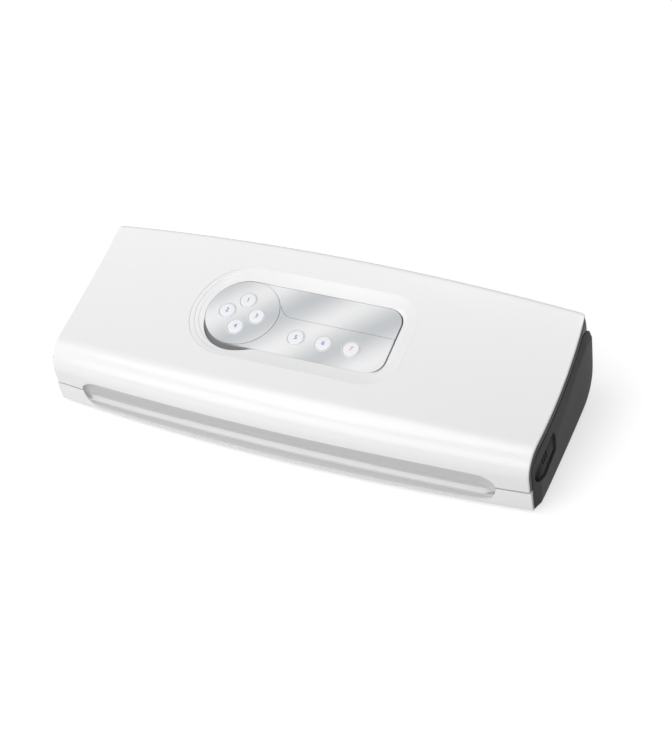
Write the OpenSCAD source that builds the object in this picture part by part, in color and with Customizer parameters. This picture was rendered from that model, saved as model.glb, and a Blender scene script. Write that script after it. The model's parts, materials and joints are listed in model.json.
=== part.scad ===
/* [Body] */
// Width across the lid, end cap to end cap
lid_w = 380; // [350:1:410]
// Depth of the machine at its middle
total_d = 145; // [138:1:156]
// How far the front edge bows out in the middle
front_bow = 9.6; // [4:0.2:12]
// How far the rear edge bows out in the middle
rear_bow = 6.3; // [3:0.1:8]
// Height of the lid's rear edge at its ends
rear_h = 76.4; // [72:0.2:84]
// Rise of the lid's top in the middle of its width
crown = 4.8; // [2:0.2:7]
// Wall of the lid skin
lid_wall = 2.4; // [1.8:0.1:3]
// Wall of the base housing
base_wall = 2.2; // [1.8:0.1:3]

/* [Lid] */
// Height of the lid's front bottom edge
part_z = 22.9; // [22.4:0.1:24]
// Gap between the lid's front edge and the base, taken up when the lid is pressed shut
part_gap = 1.5; // [1:0.1:2]
// Radius of the rolled front edge
roll_r = 20; // [16:0.5:22]
// Height of the centre of the front roll
roll_z = 34; // [31:0.5:36]
// Height of the lid's rear lip
lip_z = 58.5; // [58:0.5:60]
// How far the rear top edge stands forward of the rear lip
rear_rake = 3; // [1:0.5:5]
// Thickness of the lid's end caps
cap_t = 1.4; // [1:0.1:2]
// Height of the end cap strip that shows below the skin
strip_h = 4.6; // [3.6:0.1:6]
// Thickness of the lid's inner tray
tray_t = 2.2; // [1.6:0.1:3]
// Underside of the inner tray over the bag
tray_low_z = 24.4; // [24.2:0.1:25.5]
// Underside of the inner tray over the machinery
tray_high_z = 48; // [47.4:0.2:50]

/* [Hinge] */
// Distance of the hinge axis in front of the rear face at the ends
hinge_in = 4.2; // [3.6:0.1:6]
// Height of the hinge axis
hinge_z = 55; // [54.5:0.5:56.5]
// Radius of the hinge pins
hinge_pin_r = 2.5; // [2:0.1:2.7]
// Radial running clearance of the hinge pins
hinge_fit = 0.06; // [0.02:0.01:0.1]

/* [Grip recess] */
// Half length of the grip recess in the front
grip_half = 165; // [140:1:168]
// Depth of the grip recess
grip_depth = 6.2; // [5:0.2:6.4]
// Height of the recess above the lid's front edge at the lid's ends
grip_up = 8; // [7:0.2:10]
// Drop of the lid's pull rib below the lid's front edge at the lid's ends
rib_drop = 10.6; // [9:0.2:11.4]
// Height of the recess below the top of the base
grip_down = 16.6; // [12:0.2:17]
// Length over which the recess closes at each end
grip_end = 14; // [8:1:20]

/* [Control panel] */
// Slope of the control panel
panel_slope = 11; // [9:0.5:13]
// Depth position of the panel's datum
panel_y = 4.5; // [0:0.5:8]
// Radius of the round dial disc
dial_r = 28.5; // [25:0.5:31]
// Sideways position of the dial disc
dial_x = -56; // [-64:1:-50]
// Sideways position of the panel's right end
panel_right = 66.4; // [60:0.2:76]
// Radius of the panel's two right corners
panel_corner_r = 13; // [8:0.5:18]
// Width of the white surround outside the panel
bezel_w = 12; // [9:0.5:14]
// Drop of each of the surround's two inner steps
bezel_step = 0.35; // [0.2:0.05:0.5]
// Radius of a key
key_r = 6.05; // [5:0.05:6.5]
// Width of the collar round a key
collar_w = 1.1; // [0.8:0.1:1.4]
// Distance of the four dial keys from the disc's centre
key_ring_r = 12.2; // [10.5:0.1:14]
// Pitch of the three keys in the row
key_pitch = 22; // [18:0.5:24]
// Sideways position of the row's first key
key_row_x = -7; // [-12:0.5:-5]
// Travel of a key
key_travel = 0.6; // [0.4:0.05:0.8]

/* [Base] */
// Clearance under the base, which is the height of its feet
foot_h = 2; // [1.5:0.1:4]
// Radius of a foot
foot_r = 8; // [6:0.5:10]
// Radius of the base's rear bottom edge
heel_r = 26; // [20:1:30]
// Top of the base over the machinery
deck_high_z = 45.5; // [44.5:0.1:46]
// Thickness of the deck
deck_t = 2; // [1.6:0.1:2.6]
// Distance of the deck's step behind the front edge at the ends
deck_step_in = 58.9; // [57.9:0.1:60.9]
// Bulge of a side cheek beyond the lid
cheek_bulge = 4.5; // [3:0.1:6]
// Opening between the lid's end strip and the cheek
cheek_gap = 0.8; // [0.6:0.1:1.2]

/* [Latches] */
// Travel of a latch button
latch_travel = 3; // [2:0.1:3.4]
// Opening round a latch button
latch_gap = 0.4; // [0.3:0.05:0.6]
// Distance of the latch buttons' middle behind the front edge at the ends
latch_in = 22.9; // [21.9:0.1:23.9]

/* [Vacuum and sealing] */
// Distance of the vacuum channel's ends from the lid's ends
channel_end = 35; // [30:1:50]
// Width of the vacuum channel
channel_w = 20; // [16:0.5:22]
// Depth of the vacuum channel
channel_d = 9; // [6:0.5:10]
// Distance of the vacuum channel's middle behind the front edge at the ends
channel_in = 37.9; // [36.9:0.1:38.9]
// Width of the sealing gaskets
gasket_w = 5; // [4:0.5:6]
// Distance of the sealing bar's ends from the lid's ends
bar_end = 37; // [36:1:50]
// Width of the sealing bar
bar_w = 7; // [5:0.5:7.5]
// Distance of the sealing bar's middle behind the front edge at the ends
bar_in = 12.5; // [12.3:0.1:12.9]

/* [Machinery] */
// Radius of the pump motor
motor_r = 13.5; // [11:0.5:14.5]
// Length of the pump motor
motor_l = 46; // [36:1:50]
// Radius of the opening for the mains lead
gland_r = 3.6; // [2.5:0.1:4.4]

/* [Hidden] */

$fn = 48;
eps = 0.01;
fit = 0.3;

white = "#eeeeee";
grip_grey = "#c6c7c8";
cheek_grey = "#4a4a4c";
silver = "#c9ced3";
soft_black = "#222222";

half_w = lid_w / 2;
shell_half = half_w - cap_t;
y_front = front_bow - total_d / 2;
y_rear = total_d / 2 - rear_bow;
hinge_y = y_rear - hinge_in;
base_top = part_z - part_gap;
deck_low_z = base_top - 1;
floor_z = foot_h + base_wall;
y_top_rear = y_rear - rear_rake;
deck_step_y = y_front + deck_step_in;
latch_y = y_front + latch_in;
channel_y = y_front + channel_in;
channel_l = lid_w - 2 * channel_end;
bar_y = y_front + bar_in;
bar_l = lid_w - 2 * bar_end;
motor_y = deck_step_y + motor_r + 14.5;
heel = min(heel_r, y_rear - motor_y - motor_r - 2.7);
stations = 12;

// Plan and crown: 1 at the middle of the width, 0 at its ends
function bow(x) = 1 - pow(x / half_w, 2);
function front_y(x) = y_front - front_bow * bow(x);
function rear_y(x) = y_rear + rear_bow * bow(x);

// A point of an end section, carried to the station x; its third value is its share of the crown
function warp(p, x) =
    let (u = (p[0] - y_front) / (y_rear - y_front))
    [x, p[0] - bow(x) * (front_bow * (1 - u) - rear_bow * u), p[1] + crown * bow(x) * p[2]];

function bezier(a, b, c, d, t) =
    pow(1 - t, 3) * a + 3 * t * pow(1 - t, 2) * b + 3 * t * t * (1 - t) * c + pow(t, 3) * d;
function clamp(v, low, high) = min(max(v, low), high);
function mix(a, b, t) = a + (b - a) * t;
function smooth(t) = let (c = clamp(t, 0, 1)) c * c * (3 - 2 * c);
function mean(points) = [for (p = points) 1] * points / len(points);

// Line moved sideways by an even distance, to the right of its direction
function heading(a, b) = [b[0] - a[0], b[1] - a[1]] / norm([b[0] - a[0], b[1] - a[1]]);
function beside(line, distance) = [for (i = [0:len(line) - 1])
    let (last = len(line) - 1, u = heading(line[max(i - 1, 0)], line[max(i, 1)]),
         v = heading(line[min(i, last - 1)], line[min(i + 1, last)]), w = heading([0, 0], u + v),
         d = distance / (w * u))
    [line[i][0] + d * w[1], line[i][1] - d * w[0], line[i][2]]];

// The lid's outer side line at its ends, from its front bottom edge over the top to its rear lip
shoulder_z = roll_z + roll_r;
function crown_share(z) = clamp((z - part_z) / (shoulder_z - part_z), 0, 1);
roll_line = [for (a = [180:-12:96])
    [y_front + roll_r + roll_r * cos(a), roll_z + roll_r * sin(a), crown_share(roll_z + roll_r * sin(a))]];
roll_end = roll_line[len(roll_line) - 1];
top_end = [y_top_rear - 4, rear_h - 0.5, 1];
top_line = [for (i = [1:8])
    bezier(roll_end, roll_end + [35, 3.4, 0], top_end - [31, 11.3, 0], top_end, i / 8)];
rear_line = [[y_top_rear - 1.6, rear_h, 1], [y_top_rear - 0.2, rear_h - 1, 1], [y_top_rear + 0.4, rear_h - 2.8, 1],
    [mix(y_top_rear, y_rear, 0.5), mix(rear_h, lip_z, 0.5), 0.5], [y_rear, lip_z, 0]];
lid_line = concat([[y_front + 0.4, part_z, 0], [y_front, mix(part_z, roll_z, 0.4), 0.12]],
    roll_line, top_line, rear_line);
lid_inner_line = beside(lid_line, lid_wall);

// Height of the lid's outer line over a depth position, at its ends
function line_z(line, y) =
    let (hits = [for (i = [2:len(line) - 5]) if (line[i][0] <= y && line[i + 1][0] > y) i],
         i = len(hits) > 0 ? hits[0] : (y < line[2][0] ? 2 : len(line) - 6),
         t = clamp((y - line[i][0]) / max(line[i + 1][0] - line[i][0], eps), 0, 1))
    mix(line[i][1], line[i + 1][1], t);
function lid_z(y) = line_z(lid_line, y);

// Underside of the end strip; it drops at the rear to the hinge
strip_rear_y = y_top_rear - 15;
strip_y = [for (t = [1, 0.82, 0.63, 0.44, 0.24, 0.13, 0.05, 0]) mix(y_front + 7.9, strip_rear_y, t)];
function strip_z(y) = lid_z(min(y, strip_rear_y)) - strip_h
    - (y > strip_rear_y ? (y - strip_rear_y) * 0.42 : 0);

function sum(list) = [for (v = list) 1] * list;

// Solid through a row of closed rings that have the same number of points
module loft(given) {
    n = len(given[0]);
    m = len(given);
    along = mean(given[m - 1]) - mean(given[0]);
    turn = sum([for (i = [0:n - 1]) cross(given[0][i], given[0][(i + 1) % n])]) * along;
    rings = turn > 0 ? [for (r = given) [for (i = [n - 1:-1:0]) r[i]]] : given;
    points = concat([for (r = rings) each r], [mean(rings[0]), mean(rings[m - 1])]);
    sides = [for (j = [0:m - 2], i = [0:n - 1]) let (k = (i + 1) % n) each
        [[j * n + i, j * n + k, (j + 1) * n + k], [j * n + i, (j + 1) * n + k, (j + 1) * n + i]]];
    ends = [for (i = [0:n - 1]) let (k = (i + 1) % n) each
        [[m * n, k, i], [m * n + 1, (m - 1) * n + i, (m - 1) * n + k]]];
    polyhedron(points, concat(sides, ends));
}

// Skin between two rows of open lines, one outside and one inside
module skin(outer, inner) {
    n = len(outer[0]);
    m = len(outer);
    q = m * n;
    points = concat([for (r = outer) each r], [for (r = inner) each r]);
    function quad(a, b, c, d) = [[a, b, c], [a, c, d]];
    faces = [for (j = [0:m - 2]) each concat(
        [for (i = [0:n - 2]) each concat(
            quad(j * n + i, j * n + i + 1, (j + 1) * n + i + 1, (j + 1) * n + i),
            quad(q + j * n + i, q + (j + 1) * n + i, q + (j + 1) * n + i + 1, q + j * n + i + 1))],
        quad(j * n, (j + 1) * n, q + (j + 1) * n, q + j * n),
        quad(j * n + n - 1, q + j * n + n - 1, q + (j + 1) * n + n - 1, (j + 1) * n + n - 1))];
    ends = [for (i = [0:n - 2]) each concat(
        quad(i, q + i, q + i + 1, i + 1),
        quad((m - 1) * n + i, (m - 1) * n + i + 1, q + (m - 1) * n + i + 1, q + (m - 1) * n + i))];
    polyhedron(points, concat(faces, ends));
}

// Side outlines are drawn in depth and height, and extruded from x0 to x1
module side_extrude(x0, x1) {
    translate([x0, 0, 0]) rotate([90, 0, 90]) linear_extrude(height = x1 - x0) children();
}

// Plan of the machine, set in from its front and rear faces
module plan(half, front_in, rear_in) {
    polygon(concat(
        [for (i = [0:stations]) let (x = mix(-half, half, i / stations)) [x, front_y(x) + front_in]],
        [for (i = [stations:-1:0]) let (x = mix(-half, half, i / stations)) [x, rear_y(x) - rear_in]]));
}

module rounded_bar(length, width) {
    square([length - width, width], center = true);
    for (side = [-1, 1]) translate([side * (length - width) / 2, 0]) circle(d = width);
}

module at_sides() {
    children();
    mirror([1, 0, 0]) children();
}

// ---- Lid ----

// Share of the grip recess that is open at x: 1 along its length, falling to 0 at its ends
function grip_open(x) =
    let (t = clamp((abs(x) - grip_half + grip_end) / grip_end, 0, 1)) sqrt(max(1 - t * t, 0));
grip_x = concat([for (a = [0:15:75]) -grip_half + grip_end * (1 - cos(a))],
    [for (i = [0:10]) mix(-grip_half + grip_end, grip_half - grip_end, i / 10)],
    [for (a = [75:-15:0]) grip_half - grip_end * (1 - cos(a))]);

module grip_cut(base_z, reach, rise) {
    translate([0, -total_d / 4, 0]) rotate([90, 0, 0]) linear_extrude(height = total_d / 2)
        polygon(concat([for (x = grip_x) [x, base_z + (reach + rise * bow(x)) * grip_open(x)]],
            [[grip_half, base_z - sign(reach) * 6], [-grip_half, base_z - sign(reach) * 6]]));
}

skin_stations = concat([-shell_half, 0.7 - shell_half],
    [for (i = [1:stations + 1]) mix(-shell_half, shell_half, i / (stations + 2))],
    [shell_half - 0.7, shell_half]);

module lid_shell() {
    edge_line = beside(lid_line, 0.5);
    color(white) difference() {
        skin([for (x = skin_stations) [for (p = abs(x) == shell_half ? edge_line : lid_line) warp(p, x)]],
            [for (x = skin_stations) [for (p = lid_inner_line) warp(p, x)]]);
        grip_cut(part_z, grip_up, crown);
        on_panel() translate([0, 0, -10]) linear_extrude(height = 20) panel_shape(bezel_w + 0.25);
    }
}

tray_half = half_w - latch_travel - 4;
tray_step_y = deck_step_y - 2;
tray_rear_y = hinge_y - 9;
deck_front_in = grip_depth + 3.1;

// Side line of the inner tray
function tray_line(t) = [[-total_d, tray_low_z + t], [tray_step_y - 2, tray_low_z + t],
    [tray_step_y + 3 - t, tray_high_z + t], [tray_rear_y + 5, tray_high_z + t]];

module lid_inner_tray() {
    inner_top = [for (i = [3:len(lid_inner_line) - 5]) if (lid_inner_line[i][0] < tray_rear_y - 1)
        [lid_inner_line[i][0], lid_inner_line[i][1] - fit]];
    color("#e4e4e4") {
        difference() {
            intersection() {
                side_extrude(-tray_half, tray_half) polygon(concat(tray_line(0),
                    [for (i = [3:-1:0]) tray_line(tray_t)[i]]));
                linear_extrude(height = 100) plan_to(tray_half, deck_front_in, tray_rear_y);
            }
            for (side = [-1, 1]) translate([side * (catch_x - 0.5), latch_y, tray_low_z - eps])
                linear_extrude(height = tray_t + 2 * eps) square([catch_w + 2 * fit, 8 + 2 * fit], center = true);
        }
        for (side = [-1, 1]) side_extrude(side > 0 ? tray_half - tray_t : -tray_half,
            side > 0 ? tray_half : tray_t - tray_half) polygon(concat(
                [[tray_rear_y, tray_high_z], [tray_step_y + 3, tray_high_z], [tray_step_y - 2, tray_low_z],
                 [front_y(tray_half) + deck_front_in, tray_low_z]],
                [for (p = inner_top) if (p[0] > front_y(tray_half) + deck_front_in) p],
                [[tray_rear_y, line_z(lid_inner_line, tray_rear_y) - fit]]));
        side_extrude(-tray_half, tray_half) translate([tray_rear_y - tray_t, tray_high_z])
            square([tray_t, line_z(lid_inner_line, tray_rear_y - tray_t) - fit - tray_high_z]);
    }
}

// Plan of the machine from its front face to a straight line at depth y
module plan_to(half, front_in, y) {
    polygon(concat(
        [for (i = [0:stations]) let (x = mix(-half, half, i / stations)) [x, front_y(x) + front_in]],
        [[half, y], [-half, y]]));
}

module lid_end_cap() {
    edge = beside(lid_line, 0.5);
    rear_end = len(lid_line) - 1;
    leg = y_front + 3;
    under = [for (y = concat([y_rear - 0.6, strip_rear_y + 6], strip_y)) [y, strip_z(y) + cheek_gap / 2]];
    color(cheek_grey) side_extrude(shell_half + 0.15, half_w) polygon(concat(
        [for (i = [0:rear_end - 2]) [edge[i][0], edge[i][1]]],
        [[y_rear - 0.6, mix(rear_h, lip_z, 0.5)]], under,
        [[leg + 0.8, under[len(under) - 1][1] - 6], [leg, roll_z], [leg, part_z]]));
}

// Heights at x of the recess's roof, of its sill and of the underside of the lid's pull rib between them
function grip_share(x) = max(grip_open(x), 0.12);
function roof_z(x) = part_z + (grip_up + crown * bow(x)) * grip_share(x);
function sill_z(x) = base_top - (grip_down - fit) * grip_share(x);
function rib_z(x) = max(part_z - rib_drop + crown * bow(x), sill_z(x) + 0.9);

wall_clear = lid_wall + 0.7;
grip_back = grip_depth + 2.8;
insert_wall = 1.2;
rib_gap = 0.4;

// Side lines of the two inserts at x: depth behind the front face, and height
function lid_grip_line(x) =
    let (b = rib_z(x), r = roof_z(x), k = (r - b) / (grip_up + rib_drop))
    [[0.9, b], [0.4, b + 0.5 * k], [0.4, b + 1.2 * k], [1, b + 1.9 * k], [3, b + 3.1 * k],
     [grip_depth, b + 4.2 * k], [grip_depth, r - 4.5 * k], [grip_depth - 2, r - 1.6 * k], [2.8, r - 0.8 * k],
     [0.7, r - 0.5 * k], [0.7, r - 0.2 * k], [wall_clear, r - 0.2 * k], [wall_clear, r + 1.4 * k],
     [grip_back, r + 1.2 * k], [grip_back, part_z + fit], [grip_depth + insert_wall, part_z + fit],
     [grip_depth + insert_wall, b]];
function base_grip_line(x) =
    let (t = rib_z(x) - rib_gap, q = sill_z(x), k = (t - q) / 10, wall = grip_back - insert_wall + 0.1)
    [[1.3, t], [0.9, t - 0.4 * k], [1, t - 0.9 * k], [2.4, t - 1.5 * k], [3.4, t - 2.6 * k], [3.4, q + 2.4 * k],
     [2.6, q + k], [1, q], [grip_back, q], [grip_back, base_top - 0.2], [wall, base_top - 0.2], [wall, t]];

// Closed ring of an insert at x; its front face draws back behind the skin where the recess closes
function insert_ring(line, x) = [for (p = line) [x * (grip_half - fit) / grip_half,
    front_y(x) + (p[0] > grip_depth ? p[0] : mix(wall_clear, p[0], grip_share(x))), p[1]]];

module lid_grip_insert() color(grip_grey) loft([for (x = grip_x) insert_ring(lid_grip_line(x), x)]);

// ---- Control panel, drawn flat and set on the lid's slope ----

panel_low = -26.5;
panel_high = panel_low + 2 * dial_r + 0.5;
dial_v = (panel_low + panel_high) / 2;
panel_z = lid_z(panel_y) + crown * bow(dial_x) - 0.2;
plate_top = -2 * bezel_step + 0.2;
plate_t = 1.6;
floor_top = -3;
floor_t = 1.2;
board_top = -10;
board_t = 1.6;

module on_panel() translate([0, panel_y, panel_z]) rotate([panel_slope, 0, 0]) children();

module panel_shape(grow) {
    r = panel_corner_r + grow;
    translate([dial_x, dial_v]) circle(r = dial_r + 0.25 + grow);
    translate([dial_x, panel_low - grow])
        square([panel_right - panel_corner_r - dial_x, panel_high - panel_low + 2 * grow]);
    translate([panel_right - panel_corner_r - eps, panel_low + panel_corner_r])
        square([r + eps, panel_high - panel_low - 2 * panel_corner_r]);
    for (v = [panel_low + panel_corner_r, panel_high - panel_corner_r])
        translate([panel_right - panel_corner_r, v]) circle(r = r);
}

// The finger notch at the lower left of the dial
module notch_shape() translate([dial_x + 2.4, dial_v - 4.6]) circle(r = dial_r + 1.6);

key_places = concat(
    [for (a = [90, 180, 0, 270]) [dial_x + key_ring_r * cos(a), dial_v - 0.8 + key_ring_r * sin(a)]],
    [for (i = [0:2]) [key_row_x + i * key_pitch, panel_low + 17]]);
board_posts = [for (x = [dial_x - 20, 50], v = [-16, 22]) [x, v]];

module panel_bezel() {
    color(white) on_panel() {
        for (step = [[bezel_w, bezel_w * 0.69, 0], [bezel_w * 0.7, bezel_w * 0.39, 1], [bezel_w * 0.4, 0.3, 2]])
            translate([0, 0, floor_top - eps]) linear_extrude(height = -floor_top - step[2] * bezel_step + eps)
                difference() {
                    panel_shape(step[0]);
                    panel_shape(step[1]);
                    if (step[2] == 2) notch_shape();
                }
        translate([0, 0, floor_top - floor_t]) linear_extrude(height = floor_t) difference() {
            panel_shape(bezel_w + 2);
            for (p = key_places) translate(p) circle(r = 3.2);
        }
        for (p = board_posts) translate([p[0], p[1], board_top]) difference() {
            cylinder(r = 3.2, h = floor_top - floor_t - board_top + eps);
            translate([0, 0, -eps]) cylinder(r = 1.1, h = 5);
        }
    }
}

module plate(top) {
    on_panel() translate([0, 0, top - plate_t]) linear_extrude(height = plate_t) difference() {
        children(0);
        for (p = key_places) translate(p) circle(r = key_r + 0.15);
    }
    on_panel() translate([0, 0, floor_top]) linear_extrude(height = top - plate_t - floor_top + eps)
        difference() {
            children(1);
            for (p = key_places) translate(p) circle(r = key_r + collar_w);
        }
}

module name_shape(shrink) {
    low = panel_low + 32.7 + shrink;
    left = dial_x + 26 + shrink;
    r = 14 - shrink;
    difference() {
        intersection() {
            panel_shape(0);
            union() {
                translate([left, low + r]) square([panel_right - left, 60]);
                translate([left + r, low]) square([panel_right - left, 60]);
                translate([left + r, low + r]) circle(r = r);
            }
        }
        translate([dial_x, dial_v]) circle(r = dial_r + 0.25);
    }
}

module dial_disc() color(silver) plate(plate_top + 0.3) {
    translate([dial_x, dial_v]) circle(r = dial_r);
    translate([dial_x, dial_v]) circle(r = dial_r - 2.4);
}

module control_shape(shrink) difference() {
    panel_shape(-shrink);
    name_shape(-0.25 - shrink);
    translate([dial_x, dial_v]) circle(r = dial_r + 0.25 + shrink);
    translate([dial_x - dial_r - 2, panel_low - 2]) square([dial_r + 2, 2 * dial_r + 6]);
}

module control_plate() color(silver) plate(plate_top) {
    control_shape(0);
    control_shape(2);
}

module name_plate() color(silver) plate(plate_top) {
    name_shape(0);
    name_shape(2);
}

module key_collars() color("#d6dade") on_panel() for (i = [0:6])
    translate([key_places[i][0], key_places[i][1], plate_top + (i < 4 ? 0.3 : 0)])
        linear_extrude(height = 0.35) difference() {
            circle(r = key_r + collar_w);
            circle(r = key_r + 0.15);
        }

module key(i) {
    top = plate_top + (i < 4 ? 0.3 : 0) + 0.55;
    color("#f4f6f8") on_panel() translate([key_places[i][0], key_places[i][1], 0]) {
        translate([0, 0, top - 2]) cylinder(r = key_r, h = 1.7);
        translate([0, 0, top - 0.3 - eps]) cylinder(r1 = key_r, r2 = key_r - 0.4, h = 0.3 + eps);
        translate([0, 0, -6.2]) cylinder(r = 2.6, h = top - 2 + 6.2 + eps);
    }
}

module control_board() color("#2f6b3c") on_panel() difference() {
    translate([dial_x - 25, -21, board_top - board_t]) cube([111, 48, board_t]);
    for (p = board_posts) translate([p[0], p[1], board_top - board_t - 1]) cylinder(r = 1.3, h = 4);
}

module key_switches() color("#303236") on_panel() for (p = key_places)
    translate([p[0], p[1], board_top]) {
        translate([-3, -3, 0]) cube([6, 6, 2.4]);
        cylinder(r = 1.7, h = -6.2 - key_travel - 0.1 - board_top);
    }

// ---- Sealing parts of the lid ----

gasket_l = channel_l + 2 * gasket_w + 8;
gasket_d = channel_w + 2 * gasket_w + 4;

module gasket_ring(z, h) translate([0, channel_y, z]) linear_extrude(height = h) difference() {
    rounded_bar(gasket_l, gasket_d);
    rounded_bar(gasket_l - 2 * gasket_w, gasket_d - 2 * gasket_w);
}

gasket_meet = (deck_low_z + tray_low_z) / 2;

module upper_gasket() color(soft_black) gasket_ring(gasket_meet + 0.15, tray_low_z - gasket_meet - 0.15);
module lower_gasket() color(soft_black) gasket_ring(deck_low_z, gasket_meet - 0.15 - deck_low_z);

tape_top = deck_low_z + 1.6;

module pressure_strip() color("#5a5c60")
    translate([-bar_l / 2, bar_y - bar_w / 2, tape_top + fit])
        cube([bar_l, bar_w, tray_low_z - tape_top - fit]);

catch_x = tray_half - 8;
barb_z = deck_low_z - 2.4;

// The catch is a blade with a barb that points to the middle of the machine
catch_w = 3.5;
barb_reach = catch_w - 1.2;
module lid_catch() color("#d0d0d0") translate([catch_x, latch_y, 0]) {
    translate([-1.2, -4, barb_z - 0.9]) cube([2.4, 8, tray_low_z + tray_t - barb_z + 1]);
    translate([-barb_reach - 1.6, -5.5, tray_low_z + tray_t]) cube([catch_w + 3, 11, 2]);
    rotate([90, 0, 0]) translate([0, 0, -4]) linear_extrude(height = 8)
        polygon([[-1.1, barb_z - 0.9], [-barb_reach, barb_z], [-1.1, barb_z + 1.2]]);
}

module hinge_arm() color("#e4e4e4") difference() {
    union() {
        side_extrude(hinge_arm_x, hinge_arm_x + 8) translate([hinge_y, hinge_z]) circle(r = hinge_pin_r + 1.5);
        side_extrude(hinge_arm_x, hinge_arm_x + 8) polygon([[tray_rear_y + fit, tray_high_z + 1],
            [tray_rear_y + fit, hinge_z + 9], [hinge_y - 3, hinge_z + 4.4], [hinge_y - 3, hinge_z - 4]]);
    }
    side_extrude(hinge_arm_x - 1, hinge_arm_x + 9) translate([hinge_y, hinge_z]) circle(r = hinge_pin_r + hinge_fit);
}
hinge_arm_x = tray_half - 12;

lid_screw_places = [for (side = [-1, 1], x = [50, half_w - 40]) side * x];
module lid_screws() color("#9a9da0") for (x = lid_screw_places)
    translate([x, tray_rear_y - 12, tray_high_z - 1.4]) {
        difference() {
            cylinder(r = 2.8, h = 1.4);
            translate([0, 0, -eps]) cylinder(r = 1.3, h = 0.9, $fn = 6);
        }
    }

// ---- Base ----

// The base's outer side line at its ends, from the front top edge under the base to the rear top edge
base_line = concat([[y_front + 0.5, base_top, 0], [y_front + 0.4, base_top - 6, 0], [y_front + 0.9, foot_h + 3.4, 0],
    [y_front + 2.2, foot_h + 0.9, 0], [y_front + 4.2, foot_h, 0]],
    [for (a = [270:15:360]) [y_rear - heel + heel * cos(a), foot_h + heel + heel * sin(a), 0]],
    [[y_rear, deck_high_z, 0]]);
base_inner_line = beside(base_line, -base_wall);

// Closed ring of the base at x, with its top raised by extra where it is a cutter
function base_ring(line, x, extra) = [for (p = concat(line,
    extra > 0 ? [[line[len(line) - 1][0], deck_high_z + extra, 0]] : [],
    [[deck_step_y + 4 - extra / 8, deck_high_z + extra, 0], [deck_step_y - 2 - extra / 8, base_top + extra, 0]],
    extra > 0 ? [[line[0][0], base_top + extra, 0]] : [])) warp(p, x)];

module base_body(line, half, extra) loft([for (i = [0:stations])
    base_ring(line, mix(-half, half, i / stations), extra)]);

boss_places = [for (x = [92 - half_w, 0, half_w - 78], y = [deck_step_y - 5.5, motor_y + 10]) [x, y]];
gland_x = half_w - 40;
gland_z = deck_high_z - 9;
latch_z = foot_h + 9;
foot_places = [for (x = [-half_w + 28, half_w - 28], y = [y_front + 14, y_rear - heel - 1]) [x, y]];

module base_housing() color(white) {
    difference() {
        base_body(base_line, half_w, 0);
        base_body(base_inner_line, half_w - base_wall, 8);
        grip_cut(base_top, -grip_down, 0);
        translate([gland_x, total_d / 4, gland_z]) rotate([-90, 0, 0]) cylinder(r = gland_r + 2, h = total_d / 2);
        at_sides() slider_path(latch_z - 0.5, base_top + 1);
    }
    for (p = boss_places) translate([p[0], p[1], floor_z - 0.3]) difference() {
        cylinder(r = 4, h = (p[1] < 0 ? deck_low_z : deck_high_z) - deck_t - floor_z);
        translate([0, 0, 3]) cylinder(r = 1.4, h = total_d);
    }
    at_sides() translate([half_w - 14, latch_y - slider_half, floor_z - 0.3])
        cube([7, 2 * slider_half, latch_z - floor_z]);
}

// Room that the slider's post needs to move in, at the machine's right side
module slider_path(z0, z1) translate([post_x - latch_travel - 0.6, latch_y - slider_half - 0.4, z0])
    cube([latch_travel + post_t + 1.9, 2 * slider_half + 0.8, z1 - z0]);

module base_deck() color("#dcdcdc") {
    low = deck_low_z;
    difference() {
        intersection() {
            side_extrude(-half_w + base_wall + fit, half_w - base_wall - fit) polygon([
                [-total_d, low - deck_t], [deck_step_y - 1.4, low - deck_t], [deck_step_y + 4.6, deck_high_z - deck_t],
                [total_d, deck_high_z - deck_t], [total_d, deck_high_z], [deck_step_y + 3, deck_high_z],
                [deck_step_y - 3, low], [-total_d, low]]);
            linear_extrude(height = 100) plan(half_w, deck_front_in, base_wall + fit);
        }
        translate([0, channel_y, 0]) linear_extrude(height = 100) rounded_bar(channel_l + 2 * fit, channel_w + 2 * fit);
        translate([0, bar_y, low - deck_t - 1]) linear_extrude(height = 10)
            square([bar_l + 2 * fit, bar_w + 2 * fit], center = true);
        for (side = [-1, 1]) translate([side * (catch_x - 2.5), latch_y, low - deck_t - 1]) linear_extrude(height = 10)
            square([12, 11], center = true);
        at_sides() slider_path(low - deck_t - 1, low + 1);
    }
    hinge_rail();
}

rail_half = 140;
rail_r = 4.4;
module hinge_rail() {
    side_extrude(-rail_half, rail_half) {
        translate([hinge_y, hinge_z]) circle(r = rail_r);
        translate([hinge_y - rail_r, deck_high_z - eps]) square([2 * rail_r - 3, hinge_z - deck_high_z]);
    }
}

module base_grip_insert() color(grip_grey) loft([for (x = grip_x) insert_ring(base_grip_line(x), x)]);

// Crease line of the cheek: its share of the cheek's height, front to rear
function crease_share(y) = mix(0.46, 0.84, smooth((y + 58) / 90));
function cheek_top(y) = strip_z(y) - cheek_gap / 2;
cheek_low = foot_h + 0.8;
function cheek_bottom(y) =
    let (front = y_front + 5, rear = y_rear - heel + 1)
    y < front ? cheek_low + 4.5 * (1 - sqrt(max(1 - pow((front - y) / 4.6, 2), 0)))
    : y > rear ? cheek_low + (heel - 1) * (1 - sqrt(max(1 - pow((y - rear) / (heel - 0.4), 2), 0)))
    : cheek_low;
cheek_y = [for (t = [0, 0.006, 0.02, 0.05, 0.09, 0.14, 0.2, 0.28, 0.38, 0.48, 0.58, 0.68, 0.77, 0.84, 0.9, 0.95, 0.98, 1])
    mix(y_front + 0.7, y_rear, t)];
cheek_in = half_w + 0.35;
function front_top(y) = y < y_front + roll_r ? min(cheek_top(y),
    roll_z + 4 + sqrt(max(pow(roll_r - 5, 2) - pow(y - y_front - roll_r + 5, 2), 0) + 1)) : cheek_top(y);
function cheek_swell(y) = let (t = (y - mix(y_front, y_rear, 0.5)) / (y_rear - y_front) * 2)
    pow(max(1 - pow(abs(t), 8), 0.02), 0.35);

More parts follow.
